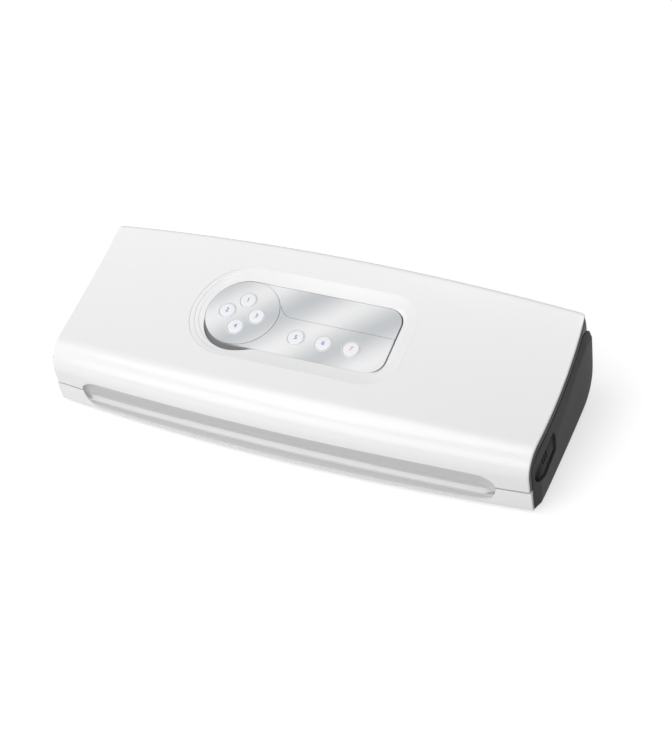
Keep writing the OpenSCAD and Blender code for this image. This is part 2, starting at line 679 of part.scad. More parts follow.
// Section of the cheek across the machine at depth y; shrink sets its face in
function cheek_ring(y, shrink) =
    let (low = cheek_bottom(y), high = max(front_top(y), low + 3), k = mix(low, high, crease_share(y)),
         edge = half_w + 0.9 - shrink, out = mix(edge, half_w + cheek_bulge - shrink, cheek_swell(y)))
    [[cheek_in, y, low], [edge, y, low], [mix(edge, out, 0.7), y, mix(low, k, 0.06)],
     [mix(edge, out, 0.93), y, mix(low, k, 0.3)], [mix(edge, out, 0.99), y, mix(low, k, 0.75)],
     [out, y, mix(k, low, 0.04)], [mix(edge, out, 0.96), y, mix(k, high, 0.16)],
     [mix(edge, out, 0.55), y, mix(k, high, 0.56)], [edge, y, high], [cheek_in, y, high]];

button_line = [[-15.2, 16.2], [-13.4, 17.8], [14.6, 22.8], [17.4, 20.8], [18.3, 16], [17.6, 4.8],
    [-3.8, 1.9], [-15.4, 6.2], [-16.8, 10.4]];
module button_shape(grow) {
    c = mean([for (p = button_line) [p[0], p[1], 0]]);
    polygon([for (p = button_line) let (d = [p[0] - c[0], p[1] - c[1]])
        [latch_y, base_top] + [c[0], c[1]] + d * (norm(d) + grow) / norm(d)]);
}

module side_cheek() color(cheek_grey) difference() {
    union() {
        loft([for (y = cheek_y) cheek_ring(y, 0)]);
        side_extrude(cheek_wall_x, cheek_in + 0.2) polygon(concat(
            [[y_front + 4.2, base_top + fit], [deck_step_y - 2 - fit, base_top + fit],
             [deck_step_y + 4 - fit, deck_high_z + fit], [y_rear - 1, deck_high_z + fit]],
            [for (y = concat([y_rear - 1, strip_rear_y + 6], strip_y)) [y, cheek_top(y)]],
            [[y_front + 4.2, cheek_top(strip_y[len(strip_y) - 1]) - 6]]));
    }
    side_extrude(cheek_wall_x - 1, half_w + 10) button_shape(latch_gap);
    slider_path(base_top, base_top + 9);
    side_extrude(cheek_wall_x - 1, half_w + fit) {
        translate([hinge_y, hinge_z]) circle(r = hinge_pin_r + 0.1);
        difference() {
            translate([hinge_y, hinge_z - 6]) square([20, 40]);
            translate([hinge_y, hinge_z]) circle(r = hinge_pin_r + 1.2);
        }
    }
}
cheek_wall_x = half_w - base_wall;

module latch_button() color(soft_black) {
    intersection() {
        side_extrude(half_w - 1, half_w + 10) button_shape(0);
        loft([for (y = cheek_y) cheek_ring(y, 0.7)]);
    }
    side_extrude(half_w - 1, cheek_in + 0.1) button_shape(0);
}

slider_half = 6;
post_t = 2;
post_x = half_w - 1 - post_t;
nose = 1.3;
hook_x = catch_x - barb_reach + 0.5 - nose;
module latch_slider() color("#d8d2c0") {
    translate([hook_x - 4, latch_y - slider_half, latch_z])
        cube([post_x + post_t - hook_x + 4, 2 * slider_half, 3.4]);
    translate([post_x, latch_y - slider_half, latch_z]) cube([post_t, 2 * slider_half, base_top + 9 - latch_z]);
    rotate([90, 0, 0]) translate([0, 0, -latch_y - 4]) linear_extrude(height = 8)
        polygon([[hook_x - 3, latch_z + 3], [hook_x - 3, barb_z + 0.3], [hook_x, barb_z + 0.3],
            [hook_x + nose, barb_z - 0.8], [hook_x, barb_z - 2.2], [hook_x, latch_z + 3]]);
}

module hinge_pin() color("#b9bcc0") side_extrude(hinge_arm_x - 3, half_w) translate([hinge_y, hinge_z])
    circle(r = hinge_pin_r);

bar_top = deck_low_z + 1;
module sealing_bar() color("#b8bcc0") translate([-bar_l / 2, bar_y - bar_w / 2, floor_z]) {
    for (x = [0, bar_l / 2 - 6, bar_l - 12]) translate([x, 0, 0]) cube([12, bar_w, bar_top - floor_z - 3]);
    translate([0, 0, bar_top - floor_z - 3 - eps]) cube([bar_l, bar_w, 3 + eps]);
}
module heating_wire() color("#8d9094") translate([-bar_l / 2, bar_y - 1.4, bar_top])
    cube([bar_l, 2.8, 0.3]);
module sealing_tape() color("#7b5236") translate([-bar_l / 2 + 1, bar_y - bar_w / 2, bar_top + 0.3])
    cube([bar_l - 2, bar_w, tape_top - bar_top - 0.3]);

module drip_tray() color("#d4d6d8") translate([0, channel_y, deck_low_z - channel_d]) difference() {
    union() {
        linear_extrude(height = channel_d + eps) rounded_bar(channel_l, channel_w);
        translate([0, 0, channel_d]) linear_extrude(height = 0.8)
            rounded_bar(channel_l + 3, channel_w + 3);
    }
    translate([0, 0, 1.4]) linear_extrude(height = channel_d + 2) rounded_bar(channel_l - 3, channel_w - 3);
    translate([filter_x, 0, -1]) cylinder(r = 2.4, h = 4);
}

module inlet_filter() color("#e8e8e8") translate([filter_x, channel_y, deck_low_z - channel_d]) difference() {
    union() {
        translate([0, 0, 1.4]) cylinder(r = 4.6, h = 2.2);
        translate([0, 0, -nipple_h]) cylinder(r = nipple_r, h = nipple_h + 1.5);
    }
    translate([0, 0, -4]) cylinder(r = 1.2, h = 10);
}
nipple_r = 2.3;
nipple_h = 2.4;

// ---- Machinery in the base ----

motor_x = 40;
motor_z = floor_z + motor_r + 3.2;
head_x = motor_x - 34;
filter_x = head_x + 15;

module pump_motor() color("#a6a9ad") translate([motor_x, motor_y, motor_z]) rotate([0, 90, 0]) {
    cylinder(r = motor_r, h = motor_l);
    translate([0, 0, -2.4]) cylinder(r = 4.2, h = 2.4 + eps);
    translate([0, 0, motor_l - eps]) cylinder(r = 5, h = 2.2);
    for (side = [-1, 1]) translate([-1.5, side * 7.5 - 1, motor_l - eps]) cube([3, 2, 5]);
}

module pump_head() color("#54585c") {
    translate([head_x, motor_y - 15, floor_z]) difference() {
        cube([31.6, 30, 2 * (motor_z - floor_z)]);
        translate([28.6, 15, motor_z - floor_z]) rotate([0, 90, 0]) cylinder(r = 4.6, h = 5);
    }
    translate([filter_x, motor_y - 15 + eps, hose_z]) rotate([90, 0, 0]) cylinder(r = nipple_r, h = 5);
}

module pump_cradle() color("#3c3f42") difference() {
    translate([motor_x + 4, motor_y - motor_r - 3, floor_z]) cube([motor_l - 8, 2 * motor_r + 6, motor_r + 1]);
    translate([motor_x, motor_y, motor_z]) rotate([0, 90, 0]) cylinder(r = motor_r + 0.05, h = motor_l + 4);
    translate([motor_x + 12, motor_y - 40, floor_z + 5]) cube([motor_l - 24, 80, 30]);
}

// The hose runs forward from the pump's nozzle and turns up to the nipple under the drip tray
hose_r = nipple_r + 0.9;
hose_z = floor_z + hose_r + fit;
module suction_hose() color("#cfd6d2") {
    under_z = deck_low_z - channel_d - 0.2;
    difference() {
        union() {
            translate([filter_x, channel_y, hose_z]) rotate([-90, 0, 0])
                cylinder(r = hose_r, h = motor_y - 15 - 0.2 - channel_y);
            translate([filter_x, channel_y, hose_z]) cylinder(r = hose_r, h = under_z - hose_z);
            translate([filter_x, channel_y, hose_z]) sphere(r = hose_r);
        }
        translate([filter_x, channel_y, under_z + 0.2 - nipple_h - 0.2]) cylinder(r = nipple_r + 0.05, h = 5);
        translate([filter_x, motor_y - 15 - 5.2, hose_z]) rotate([-90, 0, 0]) cylinder(r = nipple_r + 0.05, h = 9);
    }
}

core_x = 40 - half_w;
core_y = deck_step_y + 10;
module transformer_core() color("#6d7075") translate([core_x, core_y, floor_z]) difference() {
    cube([46, 34, 33]);
    for (z = [5, 20]) translate([9, -1, z]) cube([28, 36, 8]);
}
module transformer_coil() color("#b8763a") translate([core_x, core_y, floor_z]) difference() {
    translate([9.2, -5, 5.3]) cube([27.6, 44, 22.4]);
    translate([8, -0.2, 12.8]) cube([30, 34.4, 7.4]);
}

module power_board() color("#2f6b3c") translate([core_x + 58, core_y, floor_z + 6]) {
    cube([82, 40, 1.6]);
    for (x = [6, 76], y = [5, 31]) translate([x, y, -6]) cylinder(r = 2.6, h = 6 + eps);
    translate([14, 20, 1.6 - eps]) cylinder(r = 6, h = 16);
    translate([30, 20, 1.6 - eps]) cylinder(r = 4, h = 11);
    translate([44, 6, 1.6 - eps]) cube([16, 12, 15]);
    translate([44, 24, 1.6 - eps]) cube([20, 8, 10]);
}

module vent_valve() color("#4d7ea8") translate([half_w - 52, core_y + 11, floor_z]) {
    cube([16, 22, 14]);
    translate([8, 11, 14 - eps]) cylinder(r = 5, h = 9);
    translate([8, 11, 23 - 2 * eps]) cylinder(r = 1.8, h = 5);
}

// The switches stand beside the latch sliders and tell the board that the lid is shut
module lid_switches() color("#303236") at_sides() {
    translate([catch_x - 8, latch_y + slider_half + 0.5, floor_z]) cube([12, 6, 11]);
    translate([catch_x - 6, latch_y + slider_half + 1.5, floor_z + 11 - eps]) cube([3, 4, 1.2]);
}

module cord_gland() color(soft_black) {
    out_y = rear_y(gland_x - gland_r - 5) + 0.2;
    translate([gland_x, out_y, gland_z]) rotate([90, 0, 0]) difference() {
        union() {
            translate([0, 0, -1.6]) cylinder(r = gland_r + 4, h = 1.6);
            translate([0, 0, -eps]) cylinder(r = gland_r + 1.8, h = base_wall + 3.2);
            translate([0, 0, base_wall + 1.2]) cylinder(r = gland_r + 3.4, h = 2);
        }
        translate([0, 0, -3]) cylinder(r = gland_r, h = 20);
    }
}

module feet() color(soft_black) for (p = foot_places) translate([p[0], p[1], 0]) {
    cylinder(r1 = foot_r - 0.6, r2 = foot_r, h = foot_h);
}

module base_screws() color("#9a9da0") for (p = boss_places)
    translate([p[0], p[1], foot_h - 0.4]) difference() {
        cylinder(r = 2.6, h = 0.4);
        translate([0, 0, -1]) cylinder(r = 1.2, h = 1.2, $fn = 6);
    }

lid_shell();
lid_inner_tray();
mirror([1, 0, 0]) lid_end_cap();  // lid_end_cap_left
lid_end_cap();  // lid_end_cap_right
lid_grip_insert();
panel_bezel();
dial_disc();
control_plate();
name_plate();
key_collars();
control_board();
key_switches();
upper_gasket();
pressure_strip();
mirror([1, 0, 0]) lid_catch();  // lid_catch_left
lid_catch();  // lid_catch_right
mirror([1, 0, 0]) hinge_arm();  // hinge_arm_left
hinge_arm();  // hinge_arm_right
lid_screws();
key(0);  // key_1
key(1);  // key_2
key(2);  // key_3
key(3);  // key_4
key(4);  // key_5
key(5);  // key_6
key(6);  // key_7
mirror([1, 0, 0]) latch_button();  // latch_button_left
latch_button();  // latch_button_right
mirror([1, 0, 0]) latch_slider();  // latch_slider_left
latch_slider();  // latch_slider_right
base_housing();
base_deck();
base_grip_insert();
mirror([1, 0, 0]) side_cheek();  // side_cheek_left
side_cheek();  // side_cheek_right
sealing_bar();
heating_wire();
sealing_tape();
lower_gasket();
drip_tray();
inlet_filter();
pump_motor();
pump_head();
pump_cradle();
suction_hose();
transformer_core();
transformer_coil();
power_board();
vent_valve();
lid_switches();
cord_gland();
mirror([1, 0, 0]) hinge_pin();  // hinge_pin_left
hinge_pin();  // hinge_pin_right
feet();
base_screws();
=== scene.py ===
import json
import math

import bmesh
import bpy
import numpy as np
from mathutils import Matrix, Vector


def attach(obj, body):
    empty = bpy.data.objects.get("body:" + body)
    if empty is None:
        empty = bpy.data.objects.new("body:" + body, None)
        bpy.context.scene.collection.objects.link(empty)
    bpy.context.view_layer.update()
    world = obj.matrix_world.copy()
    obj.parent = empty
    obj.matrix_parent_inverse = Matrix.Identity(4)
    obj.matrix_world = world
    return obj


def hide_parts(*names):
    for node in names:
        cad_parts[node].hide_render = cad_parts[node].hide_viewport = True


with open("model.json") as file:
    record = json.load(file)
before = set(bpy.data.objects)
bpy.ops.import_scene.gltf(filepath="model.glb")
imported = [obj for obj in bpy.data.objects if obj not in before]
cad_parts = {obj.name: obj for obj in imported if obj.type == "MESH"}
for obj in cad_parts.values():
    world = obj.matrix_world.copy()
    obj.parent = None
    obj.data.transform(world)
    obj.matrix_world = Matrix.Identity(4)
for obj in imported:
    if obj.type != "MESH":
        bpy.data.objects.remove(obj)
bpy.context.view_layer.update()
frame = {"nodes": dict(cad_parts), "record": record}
CAD = frame["nodes"]

# ---- sizes, in millimetres

MM = 0.001
LID_W, TOTAL_D = 380.0, 145.0
FRONT_BOW, REAR_BOW, CROWN = 9.6, 6.3, 4.8
REAR_H, LIP_Z, PART_Z, BASE_TOP = 76.4, 58.5, 22.9, 21.4
LID_WALL, BASE_WALL, STRIP_H = 2.4, 2.2, 4.6
ROLL_R, ROLL_Z = 20.0, 34.0
FOOT_H, HEEL_R, DECK_Z, DECK_STEP = 2.0, 26.0, 45.5, -4.0
GRIP_HALF, GRIP_DEPTH, GRIP_UP, GRIP_DOWN, GRIP_END, RIB_DROP = 165.0, 6.2, 8.0, 16.6, 14.0, 10.6
HALF_W = LID_W / 2
Y_FRONT = FRONT_BOW - TOTAL_D / 2
Y_REAR = TOTAL_D / 2 - REAR_BOW
Y_TOP_REAR = Y_REAR - 3.0
STRIP_REAR_Y = Y_TOP_REAR - 15.0
HINGE_Y, HINGE_Z, HINGE_EYE_R = Y_REAR - 4.2, 55.0, 3.7

SLOPE = math.radians(11)
PANEL_Y, PANEL_Z = 4.5, 65.33
DIAL_X, DIAL_V, DIAL_R = -56.0, 2.25, 28.5
DIAL_RIM_R = DIAL_R + 0.25
PANEL_LOW, PANEL_HIGH, PANEL_RIGHT, CORNER_R = -26.5, 31.0, 65.0, 13.0
SURROUND_W, SURROUND_GAP, STEP = 12.0, 0.3, 0.35
NOTCH_X, NOTCH_V, NOTCH_R = 2.4, -4.6, DIAL_R + 1.6
PLATE_TOP, DIAL_TOP, PLATE_FOOT = -0.5, -0.2, -3.0
KEY_R, KEY_STEM_R, KEY_GAP, COLLAR_W = 6.05, 2.6, 0.15, 1.1
KEY_RING_R, ROW_X, ROW_V, ROW_PITCH = 12.2, -7.0, PANEL_LOW + 17, 22
KEY_PROUD, DIGIT_SIZE, DIGIT_DEPTH, DIGIT_PROUD = 0.45, 5.2, 0.03, 0.085
PLATE_BEVEL, CUT_FROM, CUT_TO = 0.35, -9, 3
LATCH_Y = -40.0
CHEEK_IN, CHEEK_BULGE, CHEEK_GAP, CHEEK_FRONT, CHEEK_REAR_R = HALF_W + 0.35, 4.5, 0.8, Y_FRONT + 3.6, 8.0
LINING_FRONT, LINING_TURN = Y_FRONT + 4.2, -56
GLAND_X, GLAND_Z, GLAND_R = HALF_W - 40, DECK_Z - 9, 3.6
SIDES = ((-1, "left"), (1, "right"))


def clamp(v, low, high):
    return max(low, min(high, v))


def mix(a, b, t):
    return a + (b - a) * t


def smooth(t):
    t = clamp(t, 0.0, 1.0)
    return t * t * (3 - 2 * t)


def bow(x):
    return 1 - (x / HALF_W) ** 2


def circle(cx, cy, r, degrees):
    """Points of a circle at the given angles."""
    return [(cx + r * math.cos(a), cy + r * math.sin(a)) for a in np.radians(degrees)]


KEYS = circle(DIAL_X, DIAL_V - 0.8, KEY_RING_R, (90, 180, 0, -90))
KEYS += [(ROW_X + ROW_PITCH * i, ROW_V) for i in range(3)]


def bezier(a, b, c, d, count):
    t = np.linspace(0, 1, count + 1)[1:, None]
    a, b, c, d = (np.array(p, float) for p in (a, b, c, d))
    return (1 - t) ** 3 * a + 3 * t * (1 - t) ** 2 * b + 3 * t * t * (1 - t) * c + t ** 3 * d


def through(points, per):
    """Smooth line through the points, with that many steps between each two."""
    p = np.array(points, float)
    p = np.vstack([2 * p[0] - p[1], p, 2 * p[-1] - p[-2]])
    out = [p[1]]
    for i in range(1, len(p) - 2):
        a, b, c, d = p[i - 1], p[i], p[i + 1], p[i + 2]
        for s in range(1, per + 1):
            t = s / per
            out.append(0.5 * (2 * b + (c - a) * t + (2 * a - 5 * b + 4 * c - d) * t * t
                              + (3 * b - a - 3 * c + d) * t ** 3))
    return np.array(out)


def beside(line, distance):
    """The line moved sideways by an even distance, to the right of its direction."""
    p = np.array(line, float)
    step = np.diff(p[:, :2], axis=0)
    step /= np.linalg.norm(step, axis=1)[:, None]
    before, after = np.vstack([step[:1], step]), np.vstack([step, step[-1:]])
    way = before + after
    way /= np.linalg.norm(way, axis=1)[:, None]
    reach = distance / np.sum(way * before, axis=1)
    out = p.copy()
    out[:, 0] += reach * way[:, 1]
    out[:, 1] -= reach * way[:, 0]
    return out


# ---- camera, light and floor

CAMERA_PLACE = (0.46155, -0.72450, 0.84679)
CAMERA_AXES = ((0.90522, 0.40342, -0.13353), (-0.19567, 0.67464, 0.71174), (0.37721, -0.61815, 0.68963))
CAMERA_LENS, CAMERA_SENSOR, CAMERA_REACH = 79.25, 36.0, 20.0
SKY_STRENGTH, FLOOR_GLOW, FLOOR_GREY, FLOOR_HALF = 0.70, 0.58, 0.58, 6.0
LAMPS = (("key", (-0.5, -0.4, 1.6), (0, 0, 0.04), (1.2, 1.2), 9.8),
         ("front", (-0.2, -1.5, 0.7), (0, -0.05, 0.03), (2.4, 0.8), 11.0),
         ("side", (1.0, 0.35, 1.5), (0.1, 0, 0.04), (0.5, 0.5), 1.4))


def in_scene(name, data):
    """New object in the scene."""
    thing = bpy.data.objects.new(name, data)
    bpy.context.scene.collection.objects.link(thing)
    return thing


def look_through_camera():
    data = bpy.data.cameras.new("camera")
    data.lens, data.sensor_width, data.clip_end = CAMERA_LENS, CAMERA_SENSOR, CAMERA_REACH
    camera = in_scene("camera", data)
    turn = Matrix(CAMERA_AXES).transposed().to_4x4()
    camera.matrix_world = Matrix.Translation(CAMERA_PLACE) @ turn
    bpy.context.scene.camera = camera


def soft_box(name, place, aim, size, power):
    data = bpy.data.lights.new(name, "AREA")
    data.shape, data.size, data.size_y, data.energy = "RECTANGLE", size[0], size[1], power
    lamp = in_scene(name, data)
    lamp.location = place
    lamp.rotation_euler = (Vector(place) - Vector(aim)).to_track_quat("Z", "Y").to_euler()


def light_the_studio():
    world = bpy.data.worlds.new("studio")
    bpy.context.scene.world = world
    world.use_nodes = True
    net = Net(world.node_tree, clear=True)
    path = net.add("ShaderNodeLightPath")
    seen = net.calc("MAXIMUM", path.outputs["Is Camera Ray"], path.outputs["Is Transmission Ray"])
    side, depth, height = net.parts(net.add("ShaderNodeTexCoord").outputs["Generated"])
    sky = net.blend(net.ramp(height, -0.02, 0.75), (0.50, 0.51, 0.52), (1.0, 1.0, 1.0))
    sky = net.blend(net.ramp(side, 0.1, 0.9), sky, (0.25, 0.25, 0.26))
    sky = net.blend(net.ramp(depth, 0.2, 1.0), sky, (0.30, 0.30, 0.31))
    ambient = net.add("ShaderNodeBackground", {"Color": sky, "Strength": SKY_STRENGTH})
    bright = net.add("ShaderNodeBackground", {"Strength": 1.0})
    both = net.add("ShaderNodeMixShader", {0: seen, 1: ambient.outputs[0], 2: bright.outputs[0]})
    net.add("ShaderNodeOutputWorld", {"Surface": both.outputs[0]})
    for lamp in LAMPS:
        soft_box(*lamp)


def lay_floor():
    mesh = bpy.data.meshes.new("floor")
    corners = [(x * FLOOR_HALF, y * FLOOR_HALF, 0) for x, y in ((-1, -1), (1, -1), (1, 1), (-1, 1))]
    mesh.from_pydata(corners, [], [(0, 1, 2, 3)])
    floor = in_scene("floor", mesh)
    material = bpy.data.materials.new("floor_paper")
    material.use_nodes = True
    net = Net(material.node_tree, clear=True)
    path = net.add("ShaderNodeLightPath")
    seen = net.calc("MAXIMUM", path.outputs["Is Camera Ray"], path.outputs["Is Glossy Ray"])
    seen = net.calc("MAXIMUM", seen, path.outputs["Is Transmission Ray"])
    glow = net.add("ShaderNodeEmission", {"Strength": net.calc("MULTIPLY", seen, FLOOR_GLOW)})
    paper = net.add("ShaderNodeBsdfDiffuse", {"Color": [FLOOR_GREY] * 3})
    total = net.add("ShaderNodeAddShader", {0: paper.outputs[0], 1: glow.outputs[0]})
    net.add("ShaderNodeOutputMaterial", {"Surface": total.outputs[0]})
    mesh.materials.append(material)


# ---- node helper

class Net:
    """Adds nodes to a tree and joins them."""

    def __init__(self, tree, clear=False):
        self.tree = tree
        if clear:
            tree.nodes.clear()

    def add(self, kind, sources=(), **settings):
        """New node with its settings; sources go to sockets by name or number."""
        node = self.tree.nodes.new(kind)
        for key, value in settings.items():
            setattr(node, key, value)
        for socket, source in dict(sources).items():
            self.join(source, node.inputs[socket])
        return node

    def join(self, source, target):
        if isinstance(source, bpy.types.NodeSocket):
            self.tree.links.new(source, target)
        elif hasattr(target.default_value, "__len__") and not hasattr(source, "__len__"):
            target.default_value = [source] * len(target.default_value)
        elif hasattr(source, "__len__") and len(target.default_value) > len(source):
            target.default_value = list(source) + [1.0]
        else:
            target.default_value = source

    def calc(self, operation, *values, clamp=False):
        return self.add("ShaderNodeMath", enumerate(values), operation=operation, use_clamp=clamp).outputs[0]

    def vector(self, operation, *values):
        sockets = (0, 3) if operation == "SCALE" else (0, 1)
        node = self.add("ShaderNodeVectorMath", zip(sockets, values), operation=operation)
        return node.outputs["Value" if operation == "DOT_PRODUCT" else "Vector"]

    def place(self):
        return self.add("ShaderNodeTexCoord").outputs["Object"]

    def parts(self, vector):
        return self.add("ShaderNodeSeparateXYZ", {0: vector}).outputs

    def whole(self, x, y, z=0.0):
        return self.add("ShaderNodeCombineXYZ", enumerate((x, y, z))).outputs[0]

    def ramp(self, value, low, high, to_low=0.0, to_high=1.0):
        limits = {"Value": value, "From Min": low, "From Max": high, "To Min": to_low, "To Max": to_high}
        return self.add("ShaderNodeMapRange", limits, interpolation_type="SMOOTHSTEP").outputs[0]

    def blend(self, factor, a, b):
        return self.add("ShaderNodeMix", {0: factor, 6: a, 7: b}, data_type="RGBA").outputs[2]

    def noise(self, vector, scale, detail=2.0, roughness=0.5):
        values = {"Vector": vector, "Scale": scale, "Detail": detail, "Roughness": roughness}
        return self.add("ShaderNodeTexNoise", values).outputs[0]

    def cells(self, vector, scale):
        return self.add("ShaderNodeTexVoronoi", {"Vector": vector, "Scale": scale}).outputs["Distance"]

    def group(self, name, **values):
        sources = {label.replace("_", " "): value for label, value in values.items()}
        return self.add("ShaderNodeGroup", sources, node_tree=GROUPS[name]).outputs


def make_group(name, kind, inputs, outputs):
    tree = bpy.data.node_groups.new(name, kind)
    for way, sockets in (("INPUT", inputs), ("OUTPUT", outputs)):
        for label, socket_type, *default in sockets:
            socket = tree.interface.new_socket(label, in_out=way, socket_type="NodeSocket" + socket_type)
            if default:
                socket.default_value = default[0]
    net = Net(tree)
    return net, net.add("NodeGroupInput").outputs, net.add("NodeGroupOutput").inputs


# ---- shared surface effects

def moulded_group():
    """Moulded plastic: slow waviness, fine grain and faint mottling of the colour."""
    net, given, out = make_group(
        "moulded_plastic", "ShaderNodeTree",
        [("Tint", "Color", (0.8, 0.8, 0.8, 1)), ("Grain size", "Float", 0.4), ("Mottle", "Float", 0.03),
         ("Gloss", "Float", 0.25), ("Gloss change", "Float", 0.06)],
        [("Tint", "Color"), ("Roughness", "Float"), ("Height", "Float")])
    place = net.place()
    fine = net.noise(place, net.calc("DIVIDE", 1000.0, given["Grain size"]), 3, 0.6)
    slow = net.noise(place, 38, 2, 0.5)
    patch = net.noise(place, 9, 3, 0.55)
    shade = net.calc("SUBTRACT", net.calc("MULTIPLY_ADD", fine, 0.4, patch), 0.7)
    shade = net.calc("MULTIPLY", shade, given["Mottle"])
    net.join(net.vector("SCALE", given["Tint"], net.calc("ADD", 1.0, shade)), out["Tint"])
    patch = net.calc("SUBTRACT", patch, 0.5)
    gloss = net.calc("MULTIPLY_ADD", patch, given["Gloss change"], given["Gloss"], clamp=True)
    net.join(gloss, out["Roughness"])
    net.join(net.calc("MULTIPLY_ADD", slow, 0.25, fine), out["Height"])
    return net.tree


def brushed_group():
    """Brushed metal: long fine lines along one direction."""
    net, given, out = make_group(
        "brushed_lines", "ShaderNodeTree",
        [("Direction", "Vector", (1, 0, 0)), ("Fineness", "Float", 900.0), ("Stretch", "Float", 30.0),
         ("Place", "Vector", (0, 0, 0))],
        [("Lines", "Float"), ("Streaks", "Float")])
    along = net.vector("DOT_PRODUCT", given["Place"], given["Direction"])
    across = net.vector("SUBTRACT", given["Place"], net.vector("SCALE", given["Direction"], along))
    along = net.calc("DIVIDE", along, given["Stretch"])
    squeezed = net.vector("ADD", across, net.vector("SCALE", given["Direction"], along))
    net.join(net.noise(squeezed, given["Fineness"], 3, 0.7), out["Lines"])
    net.join(net.noise(squeezed, net.calc("MULTIPLY", given["Fineness"], 0.12), 2, 0.5), out["Streaks"])
    return net.tree


def wear_group():
    """Handling marks: rare fine scratches and specks of dust, as a mask."""
    net, given, out = make_group(
        "handling_marks", "ShaderNodeTree",
        [("Scratches", "Float", 0.3), ("Dust", "Float", 0.3)], [("Mask", "Float"), ("Dust", "Float")])
    place = net.place()
    bend = net.whole(net.noise(place, 12), net.noise(place, 15))
    bent = net.vector("ADD", place, net.vector("SCALE", bend, 0.05))
    lines = net.noise(net.vector("MULTIPLY", bent, (60, 900, 300)), 1.0, 1)
    cut = net.calc("MULTIPLY", net.ramp(lines, 0.76, 0.80), given["Scratches"])
    dust = net.calc("MULTIPLY", net.ramp(net.cells(place, 420), 0.10, 0.04), given["Dust"])
    dust = net.calc("MULTIPLY", dust, net.ramp(net.noise(place, 30), 0.5, 0.62))
    net.join(cut, out["Mask"])
    net.join(dust, out["Dust"])
    return net.tree


GROUPS = {"moulded": moulded_group(), "brushed": brushed_group(), "marks": wear_group()}
FINISH = {}


def new_material(name):
    material = bpy.data.materials.new(name)
    material.use_nodes = True
    net = Net(material.node_tree, clear=True)
    surface = net.add("ShaderNodeBsdfPrincipled")
    net.add("ShaderNodeOutputMaterial", {"Surface": surface.outputs[0]})
    FINISH[name] = material
    return net, surface.inputs


def raise_by(net, inputs, height, depth, strength=1.0):
    bump = net.add("ShaderNodeBump", {"Strength": strength, "Distance": depth, "Height": height})
    net.join(bump.outputs[0], inputs["Normal"])


def plastic(name, tint, gloss, grain=0.4, depth=0.00002, coat=0.0, mottle=0.03, change=0.06, scratches=0.2,
            dust=0.2, shine=0.5):
    net, inputs = new_material(name)
    moulded = net.group("moulded", Tint=tint, Grain_size=grain, Mottle=mottle, Gloss=gloss,
                        Gloss_change=change)
    marks = net.group("marks", Scratches=scratches, Dust=dust)
    net.join(net.blend(marks["Dust"], moulded["Tint"], (0.62, 0.60, 0.57)), inputs["Base Color"])
    rubbed, scored = (net.calc("MULTIPLY", marks["Mask"], share) for share in (0.25, 0.6))
    net.join(net.calc("ADD", moulded["Roughness"], rubbed, clamp=True), inputs["Roughness"])
    raise_by(net, inputs, net.calc("SUBTRACT", moulded["Height"], scored), depth)
    inputs["Specular IOR Level"].default_value = shine
    if coat:
        inputs["Coat Weight"].default_value = coat
        inputs["Coat Roughness"].default_value = 0.12


def metal(name, tint, gloss, direction=(1, 0, 0), fineness=900, stretch=30, depth=0.00001):
    net, inputs = new_material(name)
    brushed = net.group("brushed", Direction=direction, Fineness=fineness, Stretch=stretch, Place=net.place())
    marks = net.group("marks", Scratches=0.4, Dust=0.15)
    shade = net.blend(brushed["Streaks"], [c * 0.8 for c in tint], tint)
    net.join(net.blend(marks["Dust"], shade, (0.5, 0.48, 0.45)), inputs["Base Color"])
    net.join(net.calc("MULTIPLY_ADD", brushed["Lines"], 0.22, gloss - 0.1, clamp=True), inputs["Roughness"])
    raise_by(net, inputs, brushed["Lines"], depth)
    inputs["Metallic"].default_value = 1.0


# spacing and slant of the painted reflection bands on the silver film
REFLECTION_BAND_PITCH, REFLECTION_BAND_SLANT = 0.070, 0.97
BRUSHING = (0.69, 0.72, 0.0)


def silver_film(name, turn):
    """Satin silver film of the control panel: broad slanting bands of painted reflection in its colour, and
    fine brushing.
    """
    net, inputs = new_material(name)
    place = net.place()
    x, y = net.parts(place)[:2]
    slant = net.calc("MULTIPLY_ADD", net.calc("SUBTRACT", y, PANEL_Y * MM), -REFLECTION_BAND_SLANT, x)
    slant = net.calc("ADD", slant, net.calc("MULTIPLY", net.noise(place, 16, 1), 0.006))
    # painted reflection: a cosine over the slanting position lightens and darkens the base colour in broad
    # bands
    band = net.calc("COSINE", net.calc("MULTIPLY_ADD", slant, 2 * math.pi / REFLECTION_BAND_PITCH, turn))
    lines = net.group("brushed", Direction=BRUSHING, Fineness=1600.0, Stretch=40.0, Place=place)
    tone = net.blend(net.calc("MULTIPLY_ADD", band, 0.5, 0.5), (0.55, 0.57, 0.585), (0.86, 0.86, 0.865))
    tone = net.blend(net.calc("MULTIPLY", lines["Streaks"], 0.12), tone, (0.93, 0.93, 0.94))
    net.join(tone, inputs["Base Color"])
    net.join(net.calc("MULTIPLY_ADD", lines["Lines"], 0.12, 0.30), inputs["Roughness"])
    raise_by(net, inputs, lines["Lines"], 0.000004)
    inputs["Metallic"].default_value = 0.25
    inputs["Specular IOR Level"].default_value = 0.4


def foam(name, tint):
    net, inputs = new_material(name)
    place = net.place()
    depth = net.ramp(net.cells(place, 2600.0), 0.15, 0.7)
    net.join(net.blend(depth, [c * 2.2 + 0.02 for c in tint], tint), inputs["Base Color"])
    net.join(net.ramp(net.noise(place, 60), 0.2, 0.8, 0.75, 0.95), inputs["Roughness"])
    raise_by(net, inputs, depth, 0.0002, 0.7)
    inputs["Specular IOR Level"].default_value = 0.25


